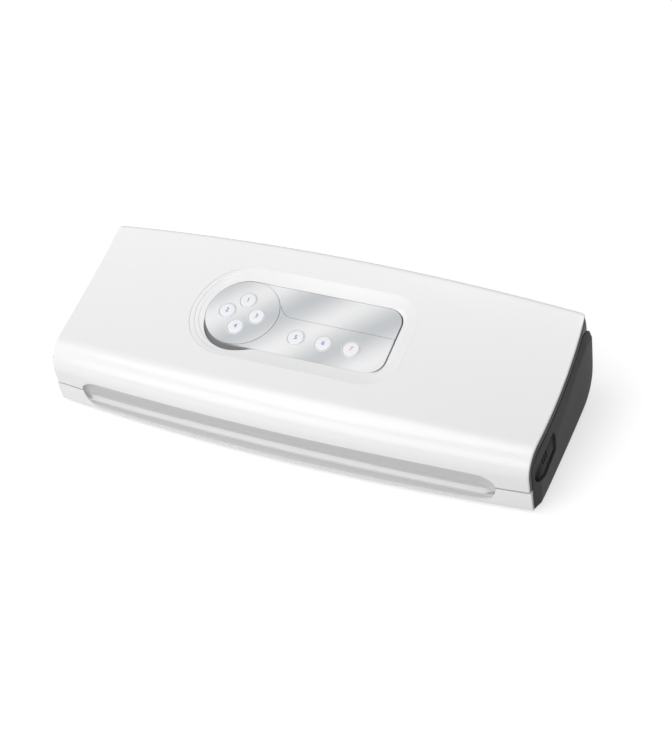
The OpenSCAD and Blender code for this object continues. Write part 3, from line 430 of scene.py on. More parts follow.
def woven_tape(name, tint):
    """Glass cloth with a brown slip coating: a plain weave of fine threads."""
    net, inputs = new_material(name)
    place = net.place()
    warp, weft = (net.calc("SINE", net.calc("MULTIPLY", way, 9500.0)) for way in net.parts(place)[:2])
    weave = net.calc("MULTIPLY_ADD", net.calc("MULTIPLY", warp, weft), 0.5, 0.5)
    stain = net.noise(place, 22, 3)
    crossed = net.calc("MULTIPLY", weave, 0.7)
    net.join(net.blend(crossed, [c * 0.62 for c in tint], tint), inputs["Base Color"])
    net.join(net.ramp(stain, 0.3, 0.7, 0.32, 0.5), inputs["Roughness"])
    raise_by(net, inputs, weave, 0.00006)


def circuit_board(name, tint):
    net, inputs = new_material(name)
    place = net.place()
    bricks = net.add("ShaderNodeTexBrick", {
        "Vector": place, "Scale": 160, "Color1": tint, "Color2": [c * 0.8 for c in tint],
        "Mortar": [c * 1.5 + 0.01 for c in tint]})
    net.join(bricks.outputs["Color"], inputs["Base Color"])
    net.join(net.ramp(net.noise(place, 80), 0.3, 0.7, 0.3, 0.45), inputs["Roughness"])
    raise_by(net, inputs, bricks.outputs["Fac"], 0.00004)


def make_finishes():
    glossy = dict(grain=1.6, depth=0.000004, coat=0.25, mottle=0.012, change=0.03)
    fine = dict(grain=0.45, depth=0.000015, mottle=0.02)
    dark = dict(grain=0.35, depth=0.00003, mottle=0.06)
    ink = dict(grain=0.3, mottle=0.05, scratches=0.0, dust=0.0)
    plastic("lid_white", (0.85, 0.85, 0.855), 0.26, scratches=0.1, dust=0.05, **glossy)
    plastic("base_white", (0.85, 0.85, 0.855), 0.26, scratches=0.15, dust=0.08, **glossy)
    plastic("tray_white", (0.72, 0.72, 0.72), 0.42, grain=0.5, depth=0.00002)
    plastic("grip_grey", (0.61, 0.61, 0.615), 0.36, **fine)
    # painted highlight: a lighter grey for the pull rib's edge and the lip under it, where light catches them
    plastic("grip_light", (0.74, 0.74, 0.745), 0.30, grain=0.45, depth=0.000012, mottle=0.02)
    # painted shade: a dark grey for the panel floor, standing in for the shade inside the finger notch
    plastic("notch_grey", (0.22, 0.22, 0.225), 0.45, shine=0.2, **fine)
    plastic("cheek_grey", (0.072, 0.072, 0.074), 0.5, scratches=0.3, shine=0.05, **dark)
    plastic("cap_grey", (0.115, 0.115, 0.117), 0.45, shine=0.12, **dark)
    plastic("key_white", (0.86, 0.87, 0.89), 0.22, grain=0.8, depth=0.000004, coat=0.3, mottle=0.015)
    plastic("collar_grey", (0.74, 0.75, 0.76), 0.24, grain=0.8, depth=0.000004, coat=0.4, mottle=0.02)
    plastic("button_black", (0.006, 0.006, 0.0065), 0.24, grain=0.6, depth=0.00001, scratches=0.35,
            shine=0.025)
    plastic("slider_cream", (0.62, 0.58, 0.48), 0.45)
    plastic("strip_grey", (0.12, 0.12, 0.13), 0.7, grain=0.3, depth=0.00004, shine=0.3)
    plastic("part_dark", (0.03, 0.032, 0.035), 0.45, grain=0.35, depth=0.00003)
    plastic("valve_blue", (0.08, 0.19, 0.36), 0.35)
    plastic("hose_clear", (0.60, 0.66, 0.63), 0.25, coat=0.3)
    plastic("foot_rubber", (0.02, 0.02, 0.02), 0.75, grain=0.3, depth=0.00005, shine=0.25)
    plastic("ink_blue", (0.02, 0.02, 0.42), 0.4, **ink)
    plastic("ink_red", (0.72, 0.02, 0.05), 0.4, **ink)
    # the turn sets where the painted reflection bands fall on the panel and on the dial
    silver_film("silver_panel", -0.55)
    silver_film("silver_dial", -0.25)
    metal("alloy", (0.72, 0.74, 0.76), 0.34)
    metal("steel", (0.62, 0.63, 0.65), 0.3)
    metal("iron", (0.30, 0.31, 0.33), 0.55, fineness=400, stretch=3, depth=0.00003)
    metal("copper", (0.72, 0.38, 0.20), 0.35, direction=(0, 1, 0), fineness=1400, stretch=60, depth=0.00004)
    foam("gasket_black", (0.018, 0.018, 0.02))
    woven_tape("tape_brown", (0.30, 0.17, 0.09))
    circuit_board("circuit_green", (0.02, 0.12, 0.05))


# ---- making meshes

def new_object(name, points, faces, shares=None):
    """New piece from points in millimetres. The shares say how far the crown lifts each of them."""
    mesh = bpy.data.meshes.new(name)
    mesh.from_pydata([tuple(p) for p in np.array(points) * MM], [], faces)
    if shares is not None:
        lift = mesh.attributes.new("share", "FLOAT", "POINT")
        lift.data.foreach_set("value", np.array(shares, np.float32).reshape(-1))
    return in_scene(name, mesh)


def solid(name, points, faces, shares=None):
    """New piece whose faces all look outwards."""
    piece = new_object(name, points, faces, shares)
    shape = bmesh.new()
    shape.from_mesh(piece.data)
    bmesh.ops.remove_doubles(shape, verts=shape.verts, dist=1e-7)
    bmesh.ops.recalc_face_normals(shape, faces=shape.faces)
    shape.to_mesh(piece.data)
    shape.free()
    return piece


def band_faces(m, n, rings, sides):
    """Faces over m rings of n points, for so many rings and sides. The last may meet the first."""
    return [(j * n + i, j * n + (i + 1) % n, (j + 1) % m * n + (i + 1) % n, (j + 1) % m * n + i)
            for j in range(rings) for i in range(sides)]


def even_out(piece):
    """Shading led by the larger faces."""
    piece.modifiers.new("even_shading", "WEIGHTED_NORMAL").keep_sharp = True
    bake(piece)


def sweep(name, rings, hollow=False, shares=None):
    """Closed solid through rings of points. A hollow ring is an outer line and its inner line walked back."""
    m, n = len(rings), len(rings[0])
    faces = band_faces(m, n, m - 1, n)
    for start in (0, (m - 1) * n):
        if hollow:
            faces += [(start + i, start + i + 1, start + n - 2 - i, start + n - 1 - i)
                      for i in range(n // 2 - 1)]
        else:
            faces.append(tuple(range(start, start + n)))
    return solid(name, np.array(rings, float).reshape(-1, 3), faces, shares)


def turned(profile, place=lambda x, y, h: (x, y, h), steps=64):
    """The profile turned about its axis: sections set by the place function."""
    return [[place(r * math.cos(a), r * math.sin(a), h) for r, h in profile]
            for a in np.linspace(0, 2 * math.pi, steps, endpoint=False)]


def closed_ring(name, sections, capped=False):
    """Solid through sections that stand round it: closed ones, or open ones with a cap at each end."""
    m, n = len(sections), len(sections[0])
    faces = band_faces(m, n, m, n - 1 if capped else n)
    if capped:
        faces += [tuple(range(i, m * n, n)) for i in (0, n - 1)]
    return solid(name, np.array(sections).reshape(-1, 3), faces)


def prism(name, outline, low, high, place):
    """Straight solid over a flat outline, set by the place function."""
    count = len(outline)
    points = [place(x, y, z) for z in (low, high) for x, y in outline]
    faces = [tuple(range(count)), tuple(range(count, 2 * count))]
    faces += [(i, (i + 1) % count, count + (i + 1) % count, count + i) for i in range(count)]
    return solid(name, points, faces)


def in_side_view(x0, x1):
    """Places an outline drawn in depth and height, between two sideways positions."""
    return lambda y, z, t: (mix(x0, x1, t), y, z)


def in_front_view(y0, y1):
    """Places an outline drawn in width and height, between two depths."""
    return lambda x, z, t: (x, mix(y0, y1, t), z)


def on_panel(u, v, h):
    c, s = math.cos(SLOPE), math.sin(SLOPE)
    return (u, PANEL_Y + v * c - h * s, PANEL_Z + v * s + h * c)


def combine(piece, other, operation="DIFFERENCE"):
    cut = piece.modifiers.new("cut", "BOOLEAN")
    cut.operation, cut.solver, cut.object = operation, "EXACT", other
    bake(piece)
    bpy.data.objects.remove(other)


def as_mesh(thing):
    """The thing as it is shown, in one plain mesh."""
    graph = bpy.context.evaluated_depsgraph_get()
    return bpy.data.meshes.new_from_object(thing.evaluated_get(graph), depsgraph=graph)


def bake(piece):
    """Turns the piece, with its modifiers, into one plain mesh."""
    mesh, old = as_mesh(piece), piece.data
    piece.modifiers.clear()
    piece.data = mesh
    if old.users == 0:
        bpy.data.meshes.remove(old)
    mesh.name = piece.name
    return piece


def soften(piece, width, angle):
    bevel = piece.modifiers.new("soft_edges", "BEVEL")
    bevel.width, bevel.segments, bevel.limit_method = width * MM, 2, "ANGLE"
    bevel.angle_limit = math.radians(angle)
    bake(piece)


def paint(piece, finish):
    piece.data.materials.clear()
    piece.data.materials.append(FINISH[finish])
    for polygon in piece.data.polygons:
        polygon.material_index = 0


def settle(piece, body, slot, replaces, sharp_angle, finish=None):
    """Gives a finished piece its look, its body and the solids it stands for."""
    paint(piece, finish or slot)
    if sharp_angle:
        piece.data.shade_smooth()
        piece.data.set_sharp_from_angle(angle=math.radians(sharp_angle))
    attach(piece, body)
    if replaces:
        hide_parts(*replaces)


# ---- the form that the lid and base share

def end_tree(net, shape, given, out):
    """Last steps of every tree: real geometry, in its finish."""
    real = net.add("GeometryNodeRealizeInstances", {0: shape})
    coloured = net.add("GeometryNodeSetMaterial", {"Geometry": real.outputs[0], "Material": given["Finish"]})
    net.join(coloured.outputs[0], out["Geometry"])
    return net.tree


def form_tree():
    """Bows a straight sweep in plan in front and behind, and crowns it."""
    net, given, out = make_group(
        "bow_and_crown", "GeometryNodeTree",
        [("Geometry", "Geometry"), ("Half width", "Float", HALF_W * MM), ("Front", "Float", Y_FRONT * MM),
         ("Rear", "Float", Y_REAR * MM), ("Front bow", "Float", FRONT_BOW * MM),
         ("Rear bow", "Float", REAR_BOW * MM), ("Crown", "Float", CROWN * MM), ("Finish", "Material")],
        [("Geometry", "Geometry")])
    x, y = net.parts(net.add("GeometryNodeInputPosition").outputs[0])[:2]
    part = net.calc("DIVIDE", x, given["Half width"])
    curve = net.calc("SUBTRACT", 1.0, net.calc("MULTIPLY", part, part))
    whole_depth = net.calc("SUBTRACT", given["Rear"], given["Front"])
    depth = net.calc("DIVIDE", net.calc("SUBTRACT", y, given["Front"]), whole_depth)
    ahead = net.calc("MULTIPLY", given["Front bow"], net.calc("SUBTRACT", 1.0, depth))
    shift = net.calc("SUBTRACT", net.calc("MULTIPLY", given["Rear bow"], depth), ahead)
    share = net.add("GeometryNodeInputNamedAttribute", {"Name": "share"}, data_type="FLOAT").outputs[0]
    rise = net.calc("MULTIPLY", net.calc("MULTIPLY", given["Crown"], curve), share)
    offset = net.whole(0.0, net.calc("MULTIPLY", curve, shift), rise)
    bowed = net.add("GeometryNodeSetPosition", {"Geometry": given["Geometry"], "Offset": offset})
    return end_tree(net, bowed.outputs[0], given, out)


FORM = form_tree()


def run_tree(piece, tree, **values):
    """Runs a node tree on the piece with the named inputs, and bakes it."""
    shaping = piece.modifiers.new(tree.name, "NODES")
    shaping.node_group = tree
    names = {item.name: item.identifier for item in tree.interface.items_tree if item.in_out == "INPUT"}
    for name, value in values.items():
        shaping[names[name.replace("_", " ")]] = value
    return bake(piece)


def bowed(piece, finish, crown=0.0):
    return run_tree(piece, FORM, Half_width=HALF_W * MM, Front=Y_FRONT * MM, Rear=Y_REAR * MM,
                    Front_bow=FRONT_BOW * MM, Rear_bow=REAR_BOW * MM, Crown=crown * MM, Finish=FINISH[finish])


# ---- lid

SHOULDER_Z = ROLL_Z + ROLL_R


def lid_side_line():
    """Side line of the lid's face, from front edge to rear lip: depth, height, share of the crown."""
    foot = [(Y_FRONT + 0.4 * ((ROLL_Z - z) / (ROLL_Z - PART_Z)) ** 2, z)
            for z in np.linspace(PART_Z, ROLL_Z, 9)[:-1]]
    roll = circle(Y_FRONT + ROLL_R, ROLL_Z, ROLL_R, np.arange(180, 95, -3))
    end, lip = (Y_TOP_REAR - 4, REAR_H - 0.5), (Y_TOP_REAR + 0.45, REAR_H - 3.2)
    last = np.array(roll[-1])
    top = bezier(last, last + (35, 3.4), np.array(end) - (31, 11.3), end, 42)
    turn = bezier(end, (end[0] + 2.2, end[1] + 0.85), (Y_TOP_REAR - 0.1, REAR_H - 0.2), lip, 10)
    back = [(mix(lip[0], Y_REAR, t), mix(lip[1], LIP_Z, t)) for t in np.linspace(0, 1, 9)[1:]]
    line = np.vstack([foot, roll, top, turn, back])
    share = np.clip((line[:, 1] - PART_Z) / (SHOULDER_Z - PART_Z), 0, 1)
    rear = line[:, 0] > Y_TOP_REAR
    share[rear] = np.clip((line[rear, 1] - LIP_Z) / (REAR_H - LIP_Z), 0, 1)
    return np.column_stack([line, share])


LID_LINE = lid_side_line()
ROLL_START, TOP_END = 8, 87    # points of the side line
LID_TOP = LID_LINE[ROLL_START:TOP_END]


def lid_z(y):
    """Height of the lid's face at its ends over a depth position."""
    return float(np.interp(y, LID_TOP[:, 0], LID_TOP[:, 1]))


def grip_open(x):
    t = clamp((abs(x) - GRIP_HALF + GRIP_END) / GRIP_END, 0, 1)
    return math.sqrt(max(1 - t * t, 0))


def stations(half, pitch=4.0, ends=(0.0,)):
    """Sideways positions, closer together where the grip recess closes."""
    corner = GRIP_HALF - GRIP_END * (1 - np.cos(np.radians(np.arange(0, 91, 7.5))))
    plain = np.arange(-GRIP_HALF + GRIP_END, GRIP_HALF - GRIP_END + 0.1, pitch)
    outer = np.linspace(GRIP_HALF, half - 1.2, 6)[1:]
    rim = [half - e for e in ends]
    every = np.concatenate([plain, corner, -corner, outer, -outer, rim, [-r for r in rim]])
    return np.array(sorted(set(np.round(every, 4))))


END_BOW, END_MIDDLE, END_REACH = 2.7, 8.0, 68.0
SWELL_START, SWELL_RUN, DRAW_RUN = 140, 46, 16
RIM_R, CORNER_ROUND = 1.0, 3.4
CAP_OUT, CAP_DRAW, CAP_FOOT_Z = 0.95, 3.0, 62.5
SKIN_HALF = HALF_W - CAP_OUT
RIM_STEPS = (3.4, 2.6, 1.8, 1.0, 0.7, 0.45, 0.25, 0.1, 0.02, 0.0)


def end_bow(y):
    """How far the ends of the lid swell out in plan."""
    return END_BOW * max(1 - ((y - END_MIDDLE) / END_REACH) ** 2, 0)


def swelled(x, y):
    return x + math.copysign(end_bow(y) * smooth((abs(x) - SWELL_START) / SWELL_RUN), x)


def drawn_in(y):
    """Share of a corner's rounding in plan, full at the rear."""
    return smooth((y - Y_TOP_REAR + DRAW_RUN) / DRAW_RUN)


def rounded_in(x, half, radius):
    reach = clamp(abs(x) - half + radius, 0, radius)
    return radius - math.sqrt(max(radius ** 2 - reach ** 2, 0))


def crown_share(z):
    return clamp((z - PART_Z) / (SHOULDER_Z - PART_Z), 0, 1)


def recess_edge(x):
    """Height of the skin's edge over the recess before the crown lifts it."""
    c = CROWN * bow(x) / (SHOULDER_Z - PART_Z)
    edge = PART_Z + (GRIP_UP + CROWN * bow(x)) * grip_open(x)
    return min((edge + PART_Z * c) / (1 + c), ROLL_Z - 0.3)


def lid_skin():
    rings, shares = [], []
    inner = beside(LID_LINE, LID_WALL)
    for x in stations(SKIN_HALF, ends=RIM_STEPS):
        start = recess_edge(x)
        outer = beside(LID_LINE, rounded_in(x, SKIN_HALF, RIM_R))
        corner = rounded_in(x, SKIN_HALF, CORNER_ROUND)
        ring, part = [], []
        for line in (outer, inner[::-1]):
            for y, z, share in line:
                if z < ROLL_Z and y < 0:
                    z = mix(start, ROLL_Z, clamp((z - PART_Z) / (ROLL_Z - PART_Z), 0, 1))
                    share = crown_share(z)
                ring.append((swelled(x, y), y - corner * drawn_in(y), z))
                part.append(share)
        rings.append(ring)
        shares.append(part)
    return sweep("lid_skin", rings, hollow=True, shares=shares)


def panel_outline(grow, step=3.0):
    """Outline of the control panel, grown outwards, in the panel's own plane."""
    x, low, high = PANEL_RIGHT - CORNER_R, PANEL_LOW + CORNER_R, PANEL_HIGH - CORNER_R
    points = circle(DIAL_X, DIAL_V, DIAL_RIM_R + grow, np.arange(90, 270.1, step))
    points += [(u, PANEL_LOW - grow) for u in np.arange(DIAL_X + 4, x, 4.0)]
    points += circle(x, low, CORNER_R + grow, np.arange(-90, 0.1, step * 2))
    points += [(PANEL_RIGHT + grow, v) for v in np.arange(low + 4, high - 2, 4.0)]
    points += circle(x, high, CORNER_R + grow, np.arange(0, 90.1, step * 2))
    points += [(u, PANEL_HIGH + grow) for u in np.arange(x - 4, DIAL_X, -4.0)]
    return np.array(points)


def make_lid_skin():
    lid = lid_skin()
    bowed(lid, "lid_white", crown=CROWN)
    combine(lid, prism("panel_opening", panel_outline(SURROUND_W + 0.2), -12, 14, on_panel))
    settle(lid, "lid", "lid_white", ["lid_shell"], 28)
    even_out(lid)


def strip_z(y):
    """Height of the parting between a lid end and the cheek under it."""
    return lid_z(min(y, STRIP_REAR_Y)) - STRIP_H - max(y - STRIP_REAR_Y, 0) * 0.42


def make_end_caps():
    """Dark strip under each end of the skin: narrow in front, deep at the rear."""
    section = [(-2.0, 0.0), (0.03, 0.0), (0.4, 0.12), (0.7, 0.32), (0.88, 0.58), (CAP_OUT, 0.86),
               (CAP_OUT - 0.15, 1.0), (-2.0, 1.0)]
    for side, name in SIDES:
        rings = []
        for y, z in beside(LID_LINE, RIM_R + 0.15)[:, :2]:
            y -= CAP_DRAW * drawn_in(y)
            if z < CAP_FOOT_Z and y > 0:
                continue
            low = (min(y, Y_TOP_REAR - 4), strip_z(min(y, Y_TOP_REAR - 4)) + CHEEK_GAP / 2)
            if y < Y_FRONT + ROLL_R:
                centre = np.array((Y_FRONT + ROLL_R, min(max(z, PART_Z), ROLL_Z)))
                way = centre - (y, z)
                width = mix(2.3, STRIP_H - RIM_R - 0.8, smooth((z - 40) / 13))
                low = np.array((y, z)) + way / np.linalg.norm(way) * width
            front = 1.1 * (1 - smooth((y - Y_FRONT - 3) / 12)) if side < 0 else 0.0
            end = SKIN_HALF - front + end_bow(y)
            rings.append([(side * (end + out), mix(y, low[0], f), mix(z, low[1], f)) for out, f in section])
        cap = sweep("end_cap_" + name, rings)
        settle(cap, "lid", "cheek_grey", ["lid_end_cap_" + name], 50, "cap_grey")


def rounded_profile(points, rounding):
    """Rounds the corners of a closed profile of depth and height."""
    p = np.array(points, float)
    out = []
    for i in range(len(p)):
        a, b, c = p[i - 1], p[i], p[(i + 1) % len(p)]
        r = min(rounding, 0.4 * np.linalg.norm(a - b), 0.4 * np.linalg.norm(c - b))
        start, stop = b + (a - b) / np.linalg.norm(a - b) * r, b + (c - b) / np.linalg.norm(c - b) * r
        for t in (0, 0.25, 0.5, 0.75, 1):
            out.append((1 - t) ** 2 * start + 2 * t * (1 - t) * b + t * t * stop)
    return np.array(out)


def roof_z(x):
    return PART_Z + (GRIP_UP + CROWN * bow(x)) * max(grip_open(x), 0.12)


def sill_z(x):
    return BASE_TOP - (GRIP_DOWN - 0.3) * max(grip_open(x), 0.12)


def rib_z(x):
    return max(PART_Z - RIB_DROP + CROWN * bow(x), sill_z(x) + 0.9)


def lid_grip_line(x):
    """Side line of the lid's grip insert: depth behind the front face, and height."""
    b, r = rib_z(x), roof_z(x)
    k = (r - b) / (GRIP_UP + RIB_DROP)
    out = smooth((GRIP_HALF - 2.5 - abs(x)) / 5)
    nose, top = mix(4.4, 0.4, out), mix(5.4, 3.0, out)
    clear, back = LID_WALL + 0.7, GRIP_DEPTH + 1.2
    return [(nose + 0.5, b), (nose, b + 0.5 * k), (nose, b + 1.3 * k), (nose + 0.7, b + 2.0 * k),
            (top, b + 3.1 * k), (GRIP_DEPTH, b + 4.4 * k), (GRIP_DEPTH, r - 4.5 * k),
            (GRIP_DEPTH - 2, r - 1.6 * k), (2.8, r - 0.8 * k), (0.7, r - 0.5 * k), (0.7, r - 0.2 * k),
            (clear, r - 0.2 * k), (clear, r + 1.2 * k), (GRIP_DEPTH + 2.8, r + 1.0 * k),
            (GRIP_DEPTH + 2.8, PART_Z + 0.3), (back, PART_Z + 0.3), (back, b)]


def base_grip_line(x):
    t, q = rib_z(x) - 0.4, sill_z(x)
    k = (t - q) / 10
    wall, deep = GRIP_DEPTH + 1.7, GRIP_DEPTH + 2.8
    return [(1.3, t), (0.9, t - 0.4 * k), (1, t - 0.9 * k), (2.4, t - 1.5 * k), (3.4, t - 2.6 * k),
            (3.4, q + 2.4 * k), (2.9, q + 1.2 * k), (2.9, q), (deep, q), (deep, BASE_TOP - 0.2),
            (wall, BASE_TOP - 0.2), (wall, t)]


def paint_rib_highlight(piece, upper):
    """Painted highlight: a lighter grey on the edge of the pull rib and on the thin lip under it, where light
    catches them.
    """
    piece.data.materials.append(FINISH["grip_light"])
    for face in piece.data.polygons:
        x, y, z = face.center / MM
        depth = y - Y_FRONT + FRONT_BOW * bow(x)
        over = z - rib_z(x)
        if (upper and depth < 3.2 and 0.2 < over < 3.6) or (not upper and depth < 2.3 and over > -2.2):
            face.material_index = 1


def make_grip_inserts():
    xs = [x for x in stations(GRIP_HALF + 3, pitch=5.0) if abs(x) <= GRIP_HALF]
    for name, line, body, node in (("grip_upper", lid_grip_line, "lid", "lid_grip_insert"),
                                   ("grip_lower", base_grip_line, "base", "base_grip_insert")):
        rings = []
        for x in xs:
            ring = []
            for d, z in rounded_profile(line(x), 0.8):
                if d <= GRIP_DEPTH:
                    d = mix(1.0, d, grip_open(x) ** 0.7)
                ring.append((x * (GRIP_HALF - 0.3) / GRIP_HALF, Y_FRONT - FRONT_BOW * bow(x) + d, z))
            rings.append(ring)
        piece = sweep(name, rings)
        settle(piece, body, "grip_grey", [node], 40)
        # paints the rib edge and the lip lighter, as a painted highlight
        paint_rib_highlight(piece, name == "grip_upper")


# ---- control panel

def lid_over_panel(u, v):
    """How far the lid's face lies over the panel's plane at a place on that plane."""
    x, y, z = on_panel(u, v, 0)
    b, back = bow(x), y
    for _ in range(12):
        depth = (back - Y_FRONT) / (Y_REAR - Y_FRONT)
        back = y - b * (REAR_BOW * depth - FRONT_BOW * (1 - depth))
    share = np.interp(back, LID_TOP[:, 0], LID_TOP[:, 2])
    return float(lid_z(back) + CROWN * b * share - z) * math.cos(SLOPE)


def surround_height(d, stepped, rise, shadow):
    """Height of the surround over its distance from the plates: dished, and stepped round the dial."""
    edges = (SURROUND_W * 0.695, SURROUND_W * 0.395)
    steps = -STEP * stepped * sum(1 - smooth((d - e + 0.12) / 0.24) for e in edges)
    return steps + rise * (d / SURROUND_W) ** 1.2 - 0.9 * shadow * (1 - smooth((d - 0.6) / 4.0))


def notch_reach(angle):
    """Distance of the finger notch's edge beyond the dial, in a direction from the dial's centre."""
    along = NOTCH_X * math.cos(angle) + NOTCH_V * math.sin(angle)
    return along + math.sqrt(max(along ** 2 + NOTCH_R ** 2 - NOTCH_X ** 2 - NOTCH_V ** 2, 0)) - DIAL_RIM_R


def surround_inside(u, v, angle):
    """Distance of the surround's inner edge from the plates, wider along the finger notch."""
    if v >= DIAL_V or u >= DIAL_X + 24 or (u > DIAL_X + 0.1 and v >= 0):
        return SURROUND_GAP
    reach = notch_reach(angle)
    if u > DIAL_X:
        foot = math.atan2(v - DIAL_V - 2, u - DIAL_X)
        reach = (notch_reach(foot) + DIAL_RIM_R) * abs(math.sin(foot)) - DIAL_RIM_R
    return max(SURROUND_GAP, reach)


def surround_profile(u, v, rise):
    """Section of the surround outwards from the plates: distance and height."""
    angle = math.atan2(v - DIAL_V, u - DIAL_X)
    stepped = smooth((-math.cos(angle - 0.35) + 0.15) / 0.9) if u <= DIAL_X + 30 else 0.0
    if v > DIAL_V + 24 and u > DIAL_X - 10:
        stepped *= 0.2
    low = v <= PANEL_LOW + 3
    right = smooth((u - PANEL_RIGHT + 9) / 8) * (0.6 if low else 1.0)
    inner = surround_inside(u, v, angle) + 0.8 * right
    joint = mix(0.12, 0.8, max(stepped, 0.12 if v < PANEL_LOW + 1 else 0.0))
    profile = [(inner, PLATE_FOOT), (inner, surround_height(inner, stepped, rise, right) - 0.15)]
    profile += [(d, surround_height(d, stepped, rise, right))
                for d in np.linspace(inner + 0.2, SURROUND_W - 0.12, 44)]
    outside = SURROUND_W + 0.24
    return profile + [(SURROUND_W, rise - 0.12), (SURROUND_W, rise - joint), (outside, rise - joint),
                      (outside, rise - 2.2), (SURROUND_W - 1, PLATE_FOOT)]


def make_surround():
    base, away = panel_outline(0.0, 2.0), panel_outline(1.0, 2.0)
    rings = []
    for p, n in zip(base, away - base):
        profile = surround_profile(*p, lid_over_panel(*(p + n * SURROUND_W)))
        rings.append([on_panel(p[0] + n[0] * d, p[1] + n[1] * d, h) for d, h in profile])
    ring = closed_ring("panel_surround", rings)
    floor = prism("panel_floor", panel_outline(SURROUND_W - 0.5), -4.2, PLATE_FOOT - 0.02, on_panel)
    settle(ring, "lid", "lid_white", ["panel_bezel"], 40)
    # the panel floor gets a dark grey instead of its grip grey, as painted shade in the notch
    settle(floor, "lid", "grip_grey", (), 40, "notch_grey")


def disc_outline(cx, cy, r, step=4.0):
    return circle(cx, cy, r, np.arange(0, 359.9, step))


NAME_LOW, NAME_LEFT, NAME_R, DIVIDING_GAP = PANEL_LOW + 32.7, DIAL_X + 26, 14.0, 0.25


def plate_corner(radius, start, stop):
    """Curve by which the dividing line turns up beside the dial, as far as the dial leaves it free."""
    points = circle(NAME_LEFT + NAME_R, NAME_LOW + NAME_R, radius, np.linspace(start, stop, 22))
    return [p for p in points if math.hypot(p[0] - DIAL_X, p[1] - DIAL_V) > DIAL_RIM_R + 0.05]


def along_dial(start, stop, count):
    return circle(DIAL_X, DIAL_V, DIAL_RIM_R, np.linspace(start, stop, count))


def dial_angle(u, v):
    return math.degrees(math.atan2(v - DIAL_V, u - DIAL_X))


def name_outline():
    """The upper plate: over the dividing line, right of the dial."""
    turn = plate_corner(NAME_R, 200, 270)
    corner = circle(PANEL_RIGHT - CORNER_R, PANEL_HIGH - CORNER_R, CORNER_R, np.linspace(0, 90, 16))
    return turn + [(PANEL_RIGHT, NAME_LOW)] + corner + along_dial(90, dial_angle(*turn[0]), 30)


def control_outline():
    """The lower plate: under the dividing line, from the dial's foot to the right edge."""
    turn = plate_corner(NAME_R + DIVIDING_GAP, 270, 200)
    corner = circle(PANEL_RIGHT - CORNER_R, PANEL_LOW + CORNER_R, CORNER_R, np.linspace(-90, 0, 16))
    foot = along_dial(dial_angle(*turn[-1]), -90, 40) + [(DIAL_X + 8, PANEL_LOW)]
    return [(PANEL_RIGHT, NAME_LOW - DIVIDING_GAP)] + turn + foot + corner


def make_plates():
    dial = disc_outline(DIAL_X, DIAL_V, DIAL_R, 2.0)
    for name, outline, top, finish, node, keys in (
            ("dial_face", dial, DIAL_TOP, "silver_dial", "dial_disc", KEYS[:4]),
            ("control_face", control_outline(), PLATE_TOP, "silver_panel", "control_plate", KEYS[4:]),
            ("name_face", name_outline(), PLATE_TOP, "silver_panel", "name_plate", [])):
        plate = prism(name, outline, PLATE_FOOT, top, on_panel)
        for u, v in keys:
            combine(plate, prism("hole", disc_outline(u, v, KEY_R + KEY_GAP), CUT_FROM, CUT_TO, on_panel))
        soften(plate, PLATE_BEVEL, 50)
        settle(plate, "lid", "silver_panel", [node], 35, finish)
        even_out(plate)


def make_keys():
    dome = [(KEY_R * t, 0.10 * (1 - t * t)) for t in np.linspace(0.02, 0.9, 10)]
    for i, (u, v) in enumerate(KEYS):
        level = (DIAL_TOP if i < 4 else PLATE_TOP) + KEY_PROUD
        stem = [(KEY_STEM_R, -6.0), (KEY_STEM_R, level - 1.5), (KEY_R, level - 1.5)]
        rim = [(KEY_R, level - 0.35), (KEY_R - 0.08, level - 0.16), (KEY_R - 0.28, level - 0.04)]
        profile = stem + rim + [(r, level + h) for r, h in dome[::-1]]
        number, body = str(i + 1), "key_%d" % (i + 1)
        sections = turned(profile, lambda x, y, h: on_panel(u + x, v + y, h))
        settle(closed_ring("key_cap_" + number, sections, capped=True), body, "key_white", [body], 40)
        label = number_label(number, (u, v, level + DIGIT_PROUD))
        settle(label, body, "key_white", (), 0, "ink_red" if i == 6 else "ink_blue")


def number_label(text, at):
    data = bpy.data.curves.new("digit", "FONT")
    data.body, data.size, data.extrude = text, DIGIT_SIZE * MM, DIGIT_DEPTH * MM
    data.align_x, data.align_y = "CENTER", "CENTER"
    written = in_scene("digit", data)
    bpy.context.view_layer.update()
    mesh = as_mesh(written)
    bpy.data.objects.remove(written)
    for vertex in mesh.vertices:
        vertex.co = Vector(on_panel(*(a + c / MM for a, c in zip(at, vertex.co)))) * MM
    return in_scene("key_digit_" + text, mesh)


def scatter_tree():
    """Sets one unit on every point, turned and sized alike."""
    net, given, out = make_group(
        "set_on_points", "GeometryNodeTree",
        [("Geometry", "Geometry"), ("Unit", "Object"), ("Turn", "Vector", (0, 0, 0)), ("Size", "Float", 1.0),
         ("Finish", "Material")],
        [("Geometry", "Geometry")])
    unit = net.add("GeometryNodeObjectInfo", {"Object": given["Unit"]})
    spread = net.add("GeometryNodeInstanceOnPoints", {
        "Points": given["Geometry"], "Instance": unit.outputs["Geometry"], "Rotation": given["Turn"],
        "Scale": net.whole(given["Size"], given["Size"], given["Size"])})
    return end_tree(net, spread.outputs[0], given, out)


SCATTER = scatter_tree()


def repeat(name, unit, points, finish, turn):
    piece = new_object(name, points, [])
    run_tree(piece, SCATTER, Unit=unit, Turn=turn, Size=1.0, Finish=FINISH[finish])
    bpy.data.objects.remove(unit)
    return piece


